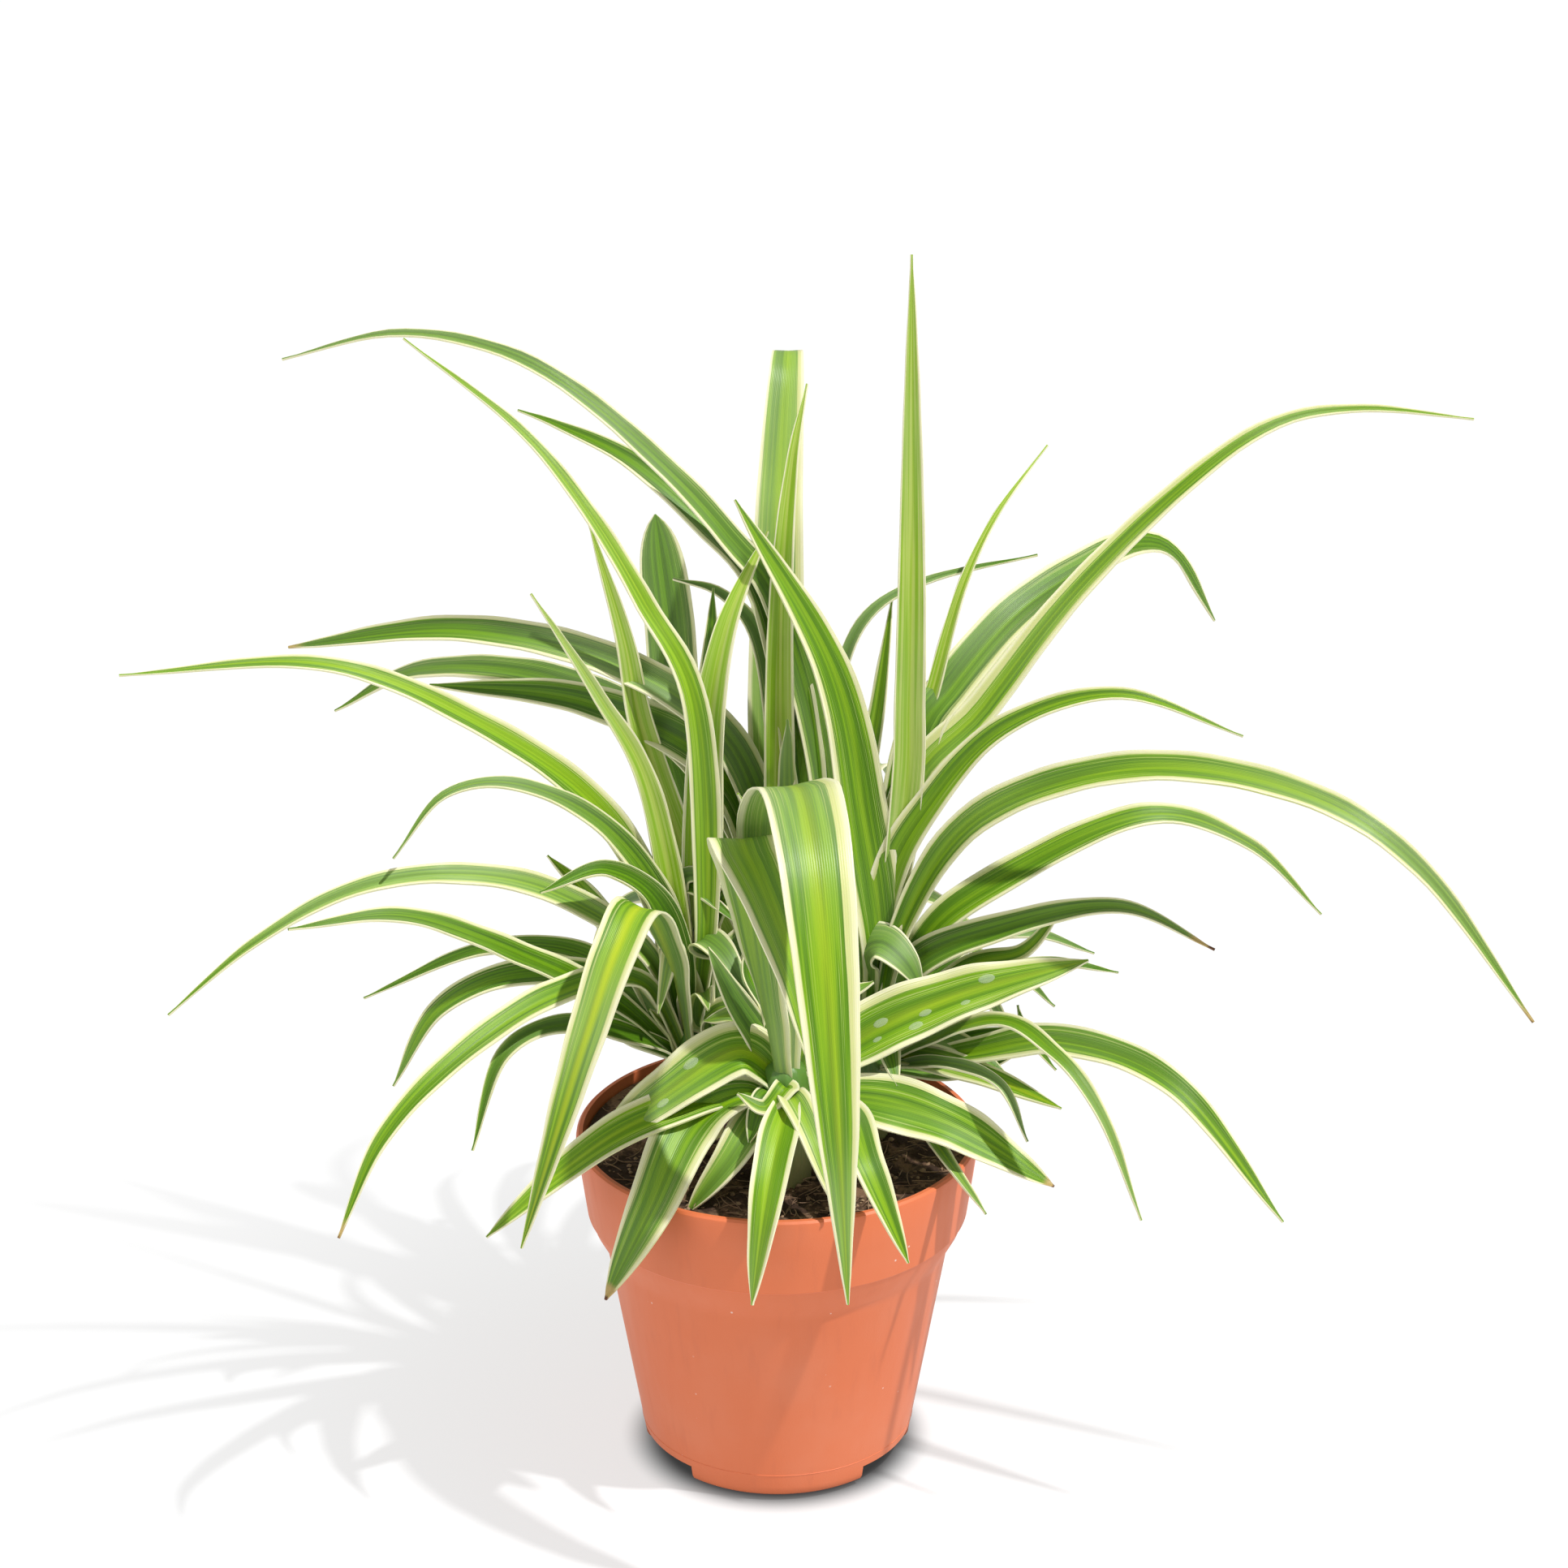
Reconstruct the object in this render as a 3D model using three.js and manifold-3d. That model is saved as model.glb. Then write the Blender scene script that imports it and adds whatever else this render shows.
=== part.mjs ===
// A spider plant in a 12 cm plastic nursery pot: pot, soil and four leaf crowns.
// Millimetres. +Z is up, +X is to the viewer's right and -Y is towards the viewer.
// The origin is on the pot's axis, on the surface that the pot stands on.
import * as THREE from "three";
import { mergeVertices } from "three/addons/utils/BufferGeometryUtils.js";
import Module from "manifold-3d";

const wasm = await Module();
wasm.setup();

// ---------------------------------------------------------------- driving sizes
const CLEARANCE = 0.3; // between meshes that touch

const POT = {
  height: 104,
  rimRadius: 60,
  rimRound: 0.8, // rounding at the rim's outer edge
  rimBand: 12, // height of the almost upright band under the rim
  rimBandInset: 1.3,
  ridgeHeight: 79, // the faint moulded line round the collar
  ridge: 0.5, // how far that line stands out
  collarRadius: 57,
  curveDrop: 3.5, // the collar curves in under the line by this much
  curveInset: 1.8,
  wallTopHeight: 67,
  wallTopRadius: 51.2,
  shoulder: 1, // the small step out above the tapered wall
  shoulderHeight: 3,
  wallFootHeight: 5,
  wallFootRadius: 40.6,
  footCurve: [[0.6, 0.3], [0.92, 0.66]], // shares of the way out and up from foot to wall
  footRadius: 35.5,
  footRound: 0.6,
  wall: 1.4,
  lipInset: 0.6, // the wall is this much thicker at the rim
  floor: 1.6,
  slots: 3,
  slotAngle: 42,
  slotHeight: 7,
  slotInnerRadius: 33,
  segments: 48,
};

const SOIL = { edge: 97, crown: 99.5, lump: 1.3, rings: 6, segments: 32 };

const STEM = { radius: 8, bulge: 9, bury: 9, bevel: 1.5, height: 40, segments: 12 };

const BLADE = {
  thickness: 0.7,
  tipWidth: 0.9,
  rootWidth: 0.38, // share of the full width where a blade leaves its stem
  widestAt: 0.38,
  stationGap: 22.5, // length of one straight stretch
  rootFold: 42, // degrees that each half is folded up from flat
  midFold: 17,
  fewestSteps: 7,
  pointPower: 0.88, // below 1 keeps the tip full, above 1 makes it thin
  rootOut: 2,
  rootUp: 24,
  lean: 45, // degrees that a blade growing sideways turns its face to the viewer
};

// Crowns stand on the soil line, at x and y from the pot's axis.
const SOIL_LINE = 98;
const CROWNS = {
  left: { x: -24, y: 4 },
  right: { x: 26, y: 4 },
  front: { x: 2, y: -24 },
  back: { x: 3, y: 30 },
};

// ---------------------------------------------------------------- leaves
// One row a leaf: heading in degrees round +Z from +X, full width, then its stations.
// A station is [out, up] or [out, up, side] from the crown at the soil line, the last the tip.
// A fourth entry is the taper: a low one gives a long fine point.
const TAPER = 3;
const FINE = 1.7;
const BLUNT = 5;
const SLIM = 1.2;
const ROUND = 12;
const LEAVES = {
  left: [
    [189, 11.5, [[9, 70], [27, 108], [60, 136], [104, 157], [161, 157]], FINE],
    [150, 12, [[-4, 75], [-1, 138], [16, 167], [35, 192], [58, 213], [97, 234]], SLIM],
    [194, 10, [[4, 60], [13, 114], [28, 145], [46, 176]], FINE],
    [203, 12, [[8, 72], [26, 104], [52, 122], [75, 123], [91, 106]], SLIM],
    [200, 10, [[14, 62], [43, 87], [74, 97], [103, 96], [131, 84], [156, 66]], FINE],
    [214, 9.5, [[27, 52], [57, 74], [95, 96], [131, 101]]],
    [174, 8.5, [[28, 57], [62, 60], [100, 42]], FINE],
    [188, 10, [[23, 52], [52, 58], [76, 48], [90, 24]]],
    [222, 10, [[15, 36], [48, 53], [72, 51], [84, 25]], FINE],
    [222, 10, [[21, 58], [54, 64], [89, 55], [115, 39], [131, 14]]],
    [176, 11, [[16, 55], [32, 79], [43, 91]]],
    [216, 11, [[10, 74], [30, 95], [53, 94]]],
    [-112, 15.5, [[18, 66], [38, 91], [56, 85], [70, 64, -3], [80, 38, -8], [86, 3, -17]]],
    [50, 13, [[3, 60], [5, 120], [14, 157], [33, 183]]],
    [-140, 7, [[4, 28], [9, 38], [17, 48]]],
    [-50, 12, [[0, 62], [12, 66], [28, 52]]],
    [-20, 8, [[-9, 62], [-3, 82], [15, 72]]],
    [-10, 9, [[-5, 78], [3, 86], [13, 80]]],
    [-120, 9, [[4, 50], [12, 68], [21, 50]]],
    [150, 11, [[20, 30], [34, 34], [46, 16]]],
  ],
  right: [
    [21, 14.5, [[11, 105], [36, 133], [63, 164], [96, 192], [126, 209], [156, 211], [194, 204]], SLIM],
    [
      40,
      14,
      [[9, 75], [19, 122], [33, 137], [58, 154], [87, 163], [107, 165], [124, 158], [143, 133]],
      BLUNT,
    ],
    [-8, 14.5, [[5, 80], [19, 111], [40, 135], [72, 146], [107, 135]], SLIM],
    [-20, 11.5, [[11, 71], [34, 109], [79, 130], [126, 129], [161, 111], [195, 70]]],
    [12, 12.5, [[16, 62], [40, 81], [84, 98], [117, 86], [141, 61]], FINE],
    [-16, 15, [[13, 57], [40, 74], [75, 85], [103, 75]], SLIM],
    [46, 8.5, [[8, 70], [20, 115], [29, 139], [40, 165], [55, 184], [77, 200]], SLIM],
    [0, 10, [[11, 106], [12, 141], [12, 192], [11, 270]]],
    [-14, 8, [[28, 58], [47, 67], [59, 84]]],
    [-32, 11.5, [[34, 37], [66, 49], [102, 44], [137, 11]]],
    [-44, 6, [[48, 55], [73, 53], [91, 39], [106, 12]]],
    [-38, 10, [[16, 32], [42, 34], [70, 32]]],
    [152, 16.5, [[-5, 60], [1, 103], [12, 148], [43, 194]]],
    [20, 5.5, [[29, 57], [52, 60], [74, 50]]],
    [10, 5.5, [[30, 48], [55, 54], [77, 49]]],
    [-2, 5.5, [[25, 46], [44, 54], [56, 45]]],
    [-26, 9, [[14, 38], [32, 38], [46, 31]]],
    [-48, 5.5, [[32, 37], [56, 39], [68, 25]]],
    [-60, 5.5, [[20, 24], [44, 15], [67, 6]]],
    [-20, 6, [[31, 38], [48, 42], [59, 33]]],
    [-5, 6, [[28, 24], [46, 34], [45, 46]]],
    [-30, 15, [[-2, 46, -3], [0, 62, -4], [7, 68, -4], [15, 64, -4], [21, 56, -4]], BLUNT],
  ],
  front: [
    [199, 13, [[20, 31], [45, 27], [66, 16], [90, -2]]],
    [196, 18.5, [[2, 34], [14, 45], [36, 34], [60, 17]]],
    [-150, 19, [[14, 32], [30, 25, -2], [50, 8, 10], [62, -19, 5]]],
    [-138, 12, [[8, 28], [24, 17, 3], [36, 2, -2]]],
    [-95, 12.5, [[12, 32, 2], [30, 25], [42, 11, -2], [48, -14, -5]]],
    [-86, 24, [[16, 118, -3], [34, 138, 1], [58, 135, 3], [76, 113, 5], [88, 64, 8], [91, 10, 11]]],
    [-94, 20, [[18, 109, -10], [34, 117, -7], [46, 105, 1], [54, 87, 8], [58, 65, 12]], BLUNT],
    [-62, 12, [[20, 30, 9], [40, 22, 6], [56, -2, 10]]],
    [-70, 10, [[12, 34, -2], [26, 28, -1], [40, 12, 1]]],
    [-140, 8, [[6, 36, 8], [14, 32, 8], [19, 36, 2]]],
    [8, 20, [[20, 44], [50, 57], [89, 66]]],
    [-14, 18.5, [[22, 30], [50, 25], [80, 9]]],
    [100, 7, [[4, 39], [9, 50], [13, 61]]],
    [120, 9, [[5, 50], [12, 64, 4], [14, 79]]],
    [95, 11, [[3, 40], [10, 58], [18, 72]]],
  ],
  back: [
    [
      166,
      11,
      [[-12, 60], [-10, 112], [3, 160], [17, 179], [34, 197], [61, 219], [86, 231], [118, 234], [153, 224]],
      FINE,
    ],
    [156, 14, [[-6, 70], [-4, 120], [7, 163], [25, 181], [50, 198], [74, 206], [87, 209]]],
    [165, 10, [[28, 70], [44, 115], [50, 146], [60, 180]]],
    [125, 15.5, [[30, 60], [50, 90], [59, 110], [63, 138], [67, 157], [70, 170]], ROUND],
    [98, 17.5, [[10, 118, 2], [20, 160], [30, 187, -2], [56, 221, -8], [96, 188, -13]]],
    [60, 10, [[-4, 90], [-4, 158], [2, 200], [11, 224]]],
    [20, 5, [[5, 80], [14, 128], [24, 153], [44, 163], [79, 167]]],
    [25, 8, [[14, 60], [27, 110], [34, 157]]],
    [161, 12, [[3, 70], [18, 115], [54, 136], [105, 141], [162, 129]], BLUNT],
    [157, 17, [[5, 70], [22, 106], [66, 121], [119, 119]]],
    [150, 14, [[8, 70], [32, 107], [80, 122], [131, 117], [166, 97]]],
    [70, 14, [[18, 55], [55, 82], [95, 75], [125, 35]]],
    [84, 13, [[14, 62], [48, 90], [92, 84], [128, 50]]],
    [100, 14, [[20, 48], [60, 70], [100, 55], [124, 14]]],
    [112, 12, [[12, 60], [44, 84], [84, 78], [116, 42]]],
    [130, 12, [[22, 36], [54, 50], [86, 34], [100, 2]]],
    [50, 12, [[22, 38], [56, 50], [88, 30], [100, 0]]],
  ],
};

// ---------------------------------------------------------------- solids
/** A closed three.js geometry as a manifold-3d solid, whichever way its faces wind. */
function solidFrom(geometry) {
  const bare = geometry.clone();
  for (const name of Object.keys(bare.attributes)) {
    if (name !== "position") bare.deleteAttribute(name);
  }
  const merged = mergeVertices(bare, 1e-4);
  const triVerts = Uint32Array.from(merged.index.array);
  const vertProperties = Float32Array.from(merged.attributes.position.array);
  const solid = new wasm.Manifold(new wasm.Mesh({ numProp: 3, vertProperties, triVerts }));
  if (solid.volume() > 0) return solid;
  triVerts.reverse();
  return new wasm.Manifold(new wasm.Mesh({ numProp: 3, vertProperties, triVerts }));
}

/** A manifold-3d solid as a three.js geometry. */
function geometryFrom(solid) {
  const mesh = solid.getMesh();
  const geometry = new THREE.BufferGeometry();
  geometry.setAttribute("position", new THREE.BufferAttribute(mesh.vertProperties, 3));
  geometry.setIndex(new THREE.BufferAttribute(mesh.triVerts, 1));
  geometry.computeVertexNormals();
  return geometry;
}

/** A closed profile of [radius, height] points, turned about the upright axis. */
function lathe(profile, segments) {
  const points = profile.map(([radius, height]) => new THREE.Vector2(radius, height));
  return new THREE.LatheGeometry(points, segments).rotateX(Math.PI / 2);
}

/** The solid's one outer body, with the pockets that its blades close off filled. */
function filled(solid) {
  return solid.decompose().reduce((most, body) => (body.volume() > most.volume() ? body : most));
}

function namedMesh(name, geometry, colour, roughness) {
  const material = new THREE.MeshStandardMaterial({ color: colour, roughness, metalness: 0 });
  const mesh = new THREE.Mesh(geometry, material);
  mesh.name = name;
  return mesh;
}

const smoothstep = (t) => t * t * (3 - 2 * t);
const clamp01 = (t) => Math.min(Math.max(t, 0), 1);

// ---------------------------------------------------------------- pot
const WALL_SLOPE =
  (POT.wallTopRadius - POT.wallFootRadius) / (POT.wallTopHeight - POT.wallFootHeight);
const innerWallRadius = (height) =>
  POT.wallFootRadius + (height - POT.wallFootHeight) * WALL_SLOPE - POT.wall;

/** The pot's outline, up the outside from the middle of its floor and down the inside. */
function potProfile() {
  const { height, rimRadius, rimRound, ridgeHeight, ridge, collarRadius, wall, floor } = POT;
  const { wallTopHeight, wallTopRadius, shoulder, wallFootHeight, wallFootRadius } = POT;
  const { curveInset, curveDrop, footRadius, footRound, footCurve } = POT;
  const outside = [
    [0, 0],
    [footRadius - footRound, 0],
    [footRadius, footRound],
    ...footCurve.map(([out, up]) => [
      footRadius + out * (wallFootRadius - footRadius),
      up * wallFootHeight,
    ]),
    [wallFootRadius, wallFootHeight],
    [wallTopRadius, wallTopHeight],
    [wallTopRadius + shoulder, wallTopHeight + POT.shoulderHeight],
    [collarRadius - curveInset, ridgeHeight - curveDrop],
    [collarRadius - ridge, ridgeHeight],
    [collarRadius, ridgeHeight + ridge],
    [rimRadius - POT.rimBandInset, height - POT.rimBand],
    [rimRadius, height - 2 * rimRound],
    [rimRadius - 0.2 * rimRound, height - 0.8 * rimRound],
    [rimRadius - rimRound, height],
  ];
  const inside = [
    [rimRadius - wall - POT.lipInset, height],
    [rimRadius - wall - rimRound, height - rimRound],
    [collarRadius - wall, ridgeHeight + ridge],
    [collarRadius - curveInset - wall, ridgeHeight - curveDrop],
    [wallTopRadius - wall, wallTopHeight],
    [innerWallRadius(wallFootHeight), wallFootHeight],
    [footRadius + footRound, floor],
    [0, floor],
  ];
  return [...outside, ...inside];
}

/** The wedges of air between the three feet at the pot's bottom edge, open as drain slots. */
function drainSlots() {
  const angle = THREE.MathUtils.degToRad(POT.slotAngle);
  const below = 1;
  const outline = new THREE.Shape();
  outline.absarc(0, 0, POT.rimRadius, -angle / 2, angle / 2, false);
  outline.absarc(0, 0, POT.slotInnerRadius, angle / 2, -angle / 2, true);
  outline.closePath();
  const settings = { depth: POT.slotHeight + below, bevelEnabled: false, curveSegments: 6 };
  const wedge = new THREE.ExtrudeGeometry(outline, settings).translate(0, 0, -below);
  return Array.from({ length: POT.slots }, (_, i) => {
    const turn = Math.PI / 2 + (i * 2 * Math.PI) / POT.slots;
    return solidFrom(wedge.clone().rotateZ(turn));
  });
}

function makePot() {
  const shell = solidFrom(lathe(potProfile(), POT.segments));
  const pot = shell.subtract(wasm.Manifold.union(drainSlots()));
  return namedMesh("pot", geometryFrom(pot), 0xd9765a, 0.5);
}

// ---------------------------------------------------------------- soil
/** Height of the lumpy soil surface, level where it meets the pot. */
function soilHeight(x, y) {
  const share = Math.hypot(x, y) / (POT.collarRadius - POT.wall);
  const mound = SOIL.edge + (SOIL.crown - SOIL.edge) * (1 - share * share);
  const lumps = Math.sin(x * 0.23 + 1.1) * Math.cos(y * 0.27) + Math.sin(x * 0.51 - y * 0.43 + 2);
  return mound + 0.5 * SOIL.lump * lumps * (1 - share ** 6);
}

/** The soil before its surface is shaped and its stem holes are cut: the pot's inside with a gap. */
function soilBody() {
  const inset = POT.wall + CLEARANCE;
  const collar = POT.collarRadius - inset;
  const surface = collar + 1;
  const flatTop = SOIL.edge + 1;
  const profile = [
    [0, POT.floor + CLEARANCE],
    [POT.footRadius, POT.floor + CLEARANCE],
    [innerWallRadius(POT.wallFootHeight) - CLEARANCE, POT.wallFootHeight + CLEARANCE],
    [POT.wallTopRadius - inset, POT.wallTopHeight],
    [POT.collarRadius - POT.curveInset - inset, POT.ridgeHeight - POT.curveDrop],
    [collar, POT.ridgeHeight + 1],
    [surface, SOIL.edge],
  ];
  for (let ring = SOIL.rings - 1; ring >= 0; ring -= 1) {
    profile.push([surface * (ring / SOIL.rings), flatTop]);
  }
  const geometry = lathe(profile, SOIL.segments);
  const position = geometry.attributes.position;
  for (let i = 0; i < position.count; i += 1) {
    if (position.getZ(i) > flatTop - 0.5) {
      position.setZ(i, soilHeight(position.getX(i), position.getY(i)));
    }
  }
  return solidFrom(geometry);
}

/** The plain hole that a crown's stem stands in. */
function stemHole({ x, y }) {
  const radius = STEM.radius + CLEARANCE;
  const floor = SOIL_LINE - STEM.bury - CLEARANCE;
  const depth = POT.height - floor;
  const hole = new THREE.CylinderGeometry(radius, radius, depth, STEM.segments);
  return solidFrom(hole.rotateX(Math.PI / 2).translate(x, y, floor + depth / 2));
}

function makeSoil() {
  const holes = Object.values(CROWNS).map(stemHole);
  const soil = soilBody().subtract(wasm.Manifold.union(holes));
  return namedMesh("soil", geometryFrom(soil), 0x2e1c14, 0.95);
}

// ---------------------------------------------------------------- blades
/** Half the blade's width at a share of its length. */
function halfWidth(share, width, taper) {
  const swell = smoothstep(clamp01(share / BLADE.widestAt));
  const body = BLADE.rootWidth + (1 - BLADE.rootWidth) * swell;
  const point = (1 - share ** taper) ** BLADE.pointPower;
  return Math.max(width * body * point, BLADE.tipWidth) / 2;
}

/** Radians that each half of the blade is folded up, at a share of its length. */
function foldAt(share) {
  const open = smoothstep(clamp01(share / BLADE.widestAt));
  return THREE.MathUtils.degToRad(BLADE.rootFold + (BLADE.midFold - BLADE.rootFold) * open);
}

/** The blade's midrib as a curve, from inside its stem to the tip. */
function midrib(crown, heading, stations) {
  const turn = THREE.MathUtils.degToRad(heading);
  const root = [BLADE.rootOut, BLADE.rootUp];
  const points = [root, ...stations].map(([out, up, side = 0]) => {
    const x = crown.x + out * Math.cos(turn) - side * Math.sin(turn);
    const y = crown.y + out * Math.sin(turn) + side * Math.cos(turn);
    return new THREE.Vector3(x, y, SOIL_LINE + up);
  });
  return new THREE.CatmullRomCurve3(points, false, "catmullrom");
}

/** The six corners of the blade's folded section: its face, then its back the other way. */
function section(centre, along, facing, half, fold) {
  const normal = facing.clone().addScaledVector(along, -facing.dot(along)).normalize();
  const across = new THREE.Vector3().crossVectors(along, normal);
  const depth = BLADE.thickness / Math.cos(fold);
  const corner = (sideways, lower) =>
    centre
      .clone()
      .addScaledVector(across, sideways * half * Math.cos(fold))
      .addScaledVector(normal, Math.abs(sideways) * half * Math.sin(fold) - lower * depth);
  return [corner(-1, 0), corner(0, 0), corner(1, 0), corner(1, 1), corner(0, 1), corner(-1, 1)];
}

/** A folded blade as a closed solid, split into triangles alike on its face and back. */
function bladeSolid(crown, [heading, width, stations, taper = TAPER]) {
  const curve = midrib(crown, heading, stations);
  const steps = Math.max(BLADE.fewestSteps, Math.round(curve.getLength() / BLADE.stationGap));
  const sideways = Math.abs(Math.cos(THREE.MathUtils.degToRad(heading)));
  const tilt = THREE.MathUtils.degToRad(BLADE.lean * sideways);
  const facing = new THREE.Vector3(0, -Math.sin(tilt), Math.cos(tilt));
  const corners = [];
  for (let step = 0; step <= steps; step += 1) {
    const share = step / steps;
    const half = halfWidth(share, width, taper);
    const along = curve.getTangentAt(share);
    corners.push(...section(curve.getPointAt(share), along, facing, half, foldAt(share)));
  }
  const index = [];
  for (let step = 0; step < steps; step += 1) {
    for (let side = 0; side < 6; side += 1) {
      const next = (side + 1) % 6;
      const [a, b, c, d] = [side, next, side + 6, next + 6].map((i) => i + 6 * step);
      if (side < 3) index.push(a, b, d, a, d, c);
      else index.push(a, b, c, b, d, c);
    }
  }
  const end = 6 * steps;
  for (const [p, q, r] of [[0, 5, 4], [0, 4, 1], [1, 4, 3], [1, 3, 2]]) {
    index.push(p, q, r, end + p, end + r, end + q);
  }
  const geometry = new THREE.BufferGeometry();
  const flat = corners.flatMap((point) => point.toArray());
  geometry.setAttribute("position", new THREE.Float32BufferAttribute(flat, 3));
  geometry.setIndex(index);
  return solidFrom(geometry);
}

/** The short stem of sheathed leaf bases that a crown's blades grow from. */
function stemSolid({ x, y }) {
  const { radius, bulge, bury, bevel, height, segments } = STEM;
  const profile = [
    [0, -bury],
    [radius - bevel, -bury],
    [radius, bevel - bury],
    [radius, height * 0.1],
    [bulge, height * 0.25],
    [radius, height * 0.7],
    [radius * 0.8, height * 0.95],
    [0, height],
  ];
  return solidFrom(lathe(profile, segments).translate(x, y, SOIL_LINE));
}

function makeCrown(name) {
  const crown = CROWNS[name];
  const blades = LEAVES[name].map((row) => bladeSolid(crown, row));
  const plant = wasm.Manifold.union([stemSolid(crown), ...blades]);
  return namedMesh(`leaves_${name}`, geometryFrom(filled(plant)), 0x5f9a2c, 0.55);
}

// ---------------------------------------------------------------- assembly
const plant = new THREE.Group();
plant.add(makePot(), makeSoil());
for (const name of Object.keys(CROWNS)) {
  plant.add(makeCrown(name));
}

export default plant;
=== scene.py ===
"""A potted spider plant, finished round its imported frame.

Pot, soil, leaf crowns, water drops and a plain pale studio. Sizes are in millimetres and
become metres as meshes are made. +Z is up, +X to the viewer's right, -Y towards the viewer.
"""

import logging
import math
import random
from dataclasses import dataclass, field
from enum import Enum
from itertools import pairwise
from typing import Any

import bpy
import numpy as np
from mathutils import Euler, Matrix, Vector, noise


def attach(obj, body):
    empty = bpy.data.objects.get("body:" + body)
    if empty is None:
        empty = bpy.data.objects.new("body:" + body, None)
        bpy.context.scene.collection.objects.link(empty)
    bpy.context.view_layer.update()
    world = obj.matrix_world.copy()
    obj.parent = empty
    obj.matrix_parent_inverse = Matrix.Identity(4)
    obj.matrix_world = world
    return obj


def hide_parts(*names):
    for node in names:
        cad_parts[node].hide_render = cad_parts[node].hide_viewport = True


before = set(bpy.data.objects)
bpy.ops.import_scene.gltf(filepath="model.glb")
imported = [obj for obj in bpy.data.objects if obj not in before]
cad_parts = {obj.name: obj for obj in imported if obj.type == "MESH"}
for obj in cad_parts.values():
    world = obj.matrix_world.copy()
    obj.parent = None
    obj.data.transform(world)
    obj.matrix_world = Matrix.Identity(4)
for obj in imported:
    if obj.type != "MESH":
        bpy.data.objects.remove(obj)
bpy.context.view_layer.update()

log = logging.getLogger("spider_plant")

MM = 0.001
BODY = "root"

Point = tuple[float, float]
Outline = list[Point]
Span = tuple[float, float]  # from and to
Triple = tuple[float, float, float]
Colour = tuple[float, float, float, float]
Value = float | bpy.types.NodeSocket


# ---------------------------------------------------------------- modelling helpers
def select_only(*objects: bpy.types.Object) -> None:
    """Selects these objects alone and makes the first of them active.

    Args:
        objects: what to select.
    """
    if bpy.context.object and bpy.context.object.mode != "OBJECT":
        bpy.ops.object.mode_set(mode="OBJECT")
    bpy.ops.object.select_all(action="DESELECT")
    for item in objects:
        item.select_set(True)
    bpy.context.view_layer.objects.active = objects[0] if objects else None


def named(name: str) -> bpy.types.Object:
    """Names the primitive that was just added and puts its place into its mesh.

    Args:
        name: the object's name.

    Returns:
        The active object.
    """
    piece = bpy.context.object
    piece.name = name
    piece.data.name = name
    bpy.ops.object.transform_apply(location=True, rotation=True, scale=True)
    return piece


def apply_modifier(piece: bpy.types.Object, kind: str, **settings: Any) -> None:
    """Adds a modifier with these settings and applies it.

    Args:
        piece: the object that gets it.
        kind: the modifier's type.
        settings: its properties by name.
    """
    select_only(piece)
    modifier = piece.modifiers.new(kind.title(), kind)
    for key, value in settings.items():
        setattr(modifier, key, value)
    bpy.ops.object.modifier_apply(modifier=modifier.name)


def joined(name: str, pieces: list[bpy.types.Object]) -> bpy.types.Object:
    """Joins objects into one.

    Args:
        name: the joined object's name.
        pieces: at least one object.

    Returns:
        The joined object.
    """
    select_only(*pieces)
    if len(pieces) > 1:
        bpy.ops.object.join()
    whole = bpy.context.object
    whole.name = name
    whole.data.name = name
    return whole


def copied(source: bpy.types.Object, name: str) -> bpy.types.Object:
    """Copies an object with a mesh of its own.

    Args:
        source: the object to copy.
        name: the copy's name.

    Returns:
        The copy, in the scene.
    """
    copy = source.copy()
    copy.data = source.data.copy()
    copy.name = name
    bpy.context.scene.collection.objects.link(copy)
    return copy


def discard(piece: bpy.types.Object) -> None:
    """Deletes a helper object that is not part of the model."""
    bpy.data.objects.remove(piece)


def smooth(piece: bpy.types.Object, degrees: float) -> None:
    """Shades an object smooth, but for edges sharper than an angle.

    Args:
        piece: the object to shade.
        degrees: the sharpest angle that is still smoothed.
    """
    select_only(piece)
    bpy.ops.object.shade_smooth_by_angle(angle=math.radians(degrees))


def turned(name: str, outline: Outline, segments: int) -> bpy.types.Object:
    """Turns an outline round the upright axis, ring by ring, and caps both ends.

    Args:
        name: the object's name.
        outline: radius and height of each ring, from one cap to the other.
        segments: faces round the axis.

    Returns:
        The closed object.
    """
    select_only()
    radius, height = outline[0]
    bpy.ops.mesh.primitive_circle_add(
        vertices=segments, radius=radius * MM, location=(0, 0, height * MM)
    )
    piece = named(name)
    bpy.ops.object.mode_set(mode="EDIT")
    bpy.ops.mesh.select_all(action="SELECT")
    for (radius, height), (next_radius, next_height) in pairwise(outline):
        rise = (next_height - height) * MM
        bpy.ops.mesh.extrude_region_move(TRANSFORM_OT_translate={"value": (0, 0, rise)})
        grow = next_radius / radius
        centre = (0, 0, next_height * MM)
        bpy.ops.transform.resize(value=(grow, grow, 1), center_override=centre)
    bpy.ops.mesh.edge_face_add()
    bpy.ops.mesh.select_all(action="DESELECT")
    bpy.ops.object.mode_set(mode="OBJECT")
    for vertex in piece.data.vertices[:segments]:
        vertex.select = True
    bpy.ops.object.mode_set(mode="EDIT")
    bpy.ops.mesh.edge_face_add()
    bpy.ops.mesh.select_all(action="SELECT")
    bpy.ops.mesh.normals_make_consistent(inside=False)
    bpy.ops.object.mode_set(mode="OBJECT")
    return piece


def points_of(piece: bpy.types.Object) -> np.ndarray:
    """Reads an object's vertices.

    Args:
        piece: a mesh object.

    Returns:
        One row of x, y and z for each vertex, in metres.
    """
    flat = np.empty(len(piece.data.vertices) * 3)
    piece.data.vertices.foreach_get("co", flat)
    return flat.reshape(-1, 3)


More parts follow.
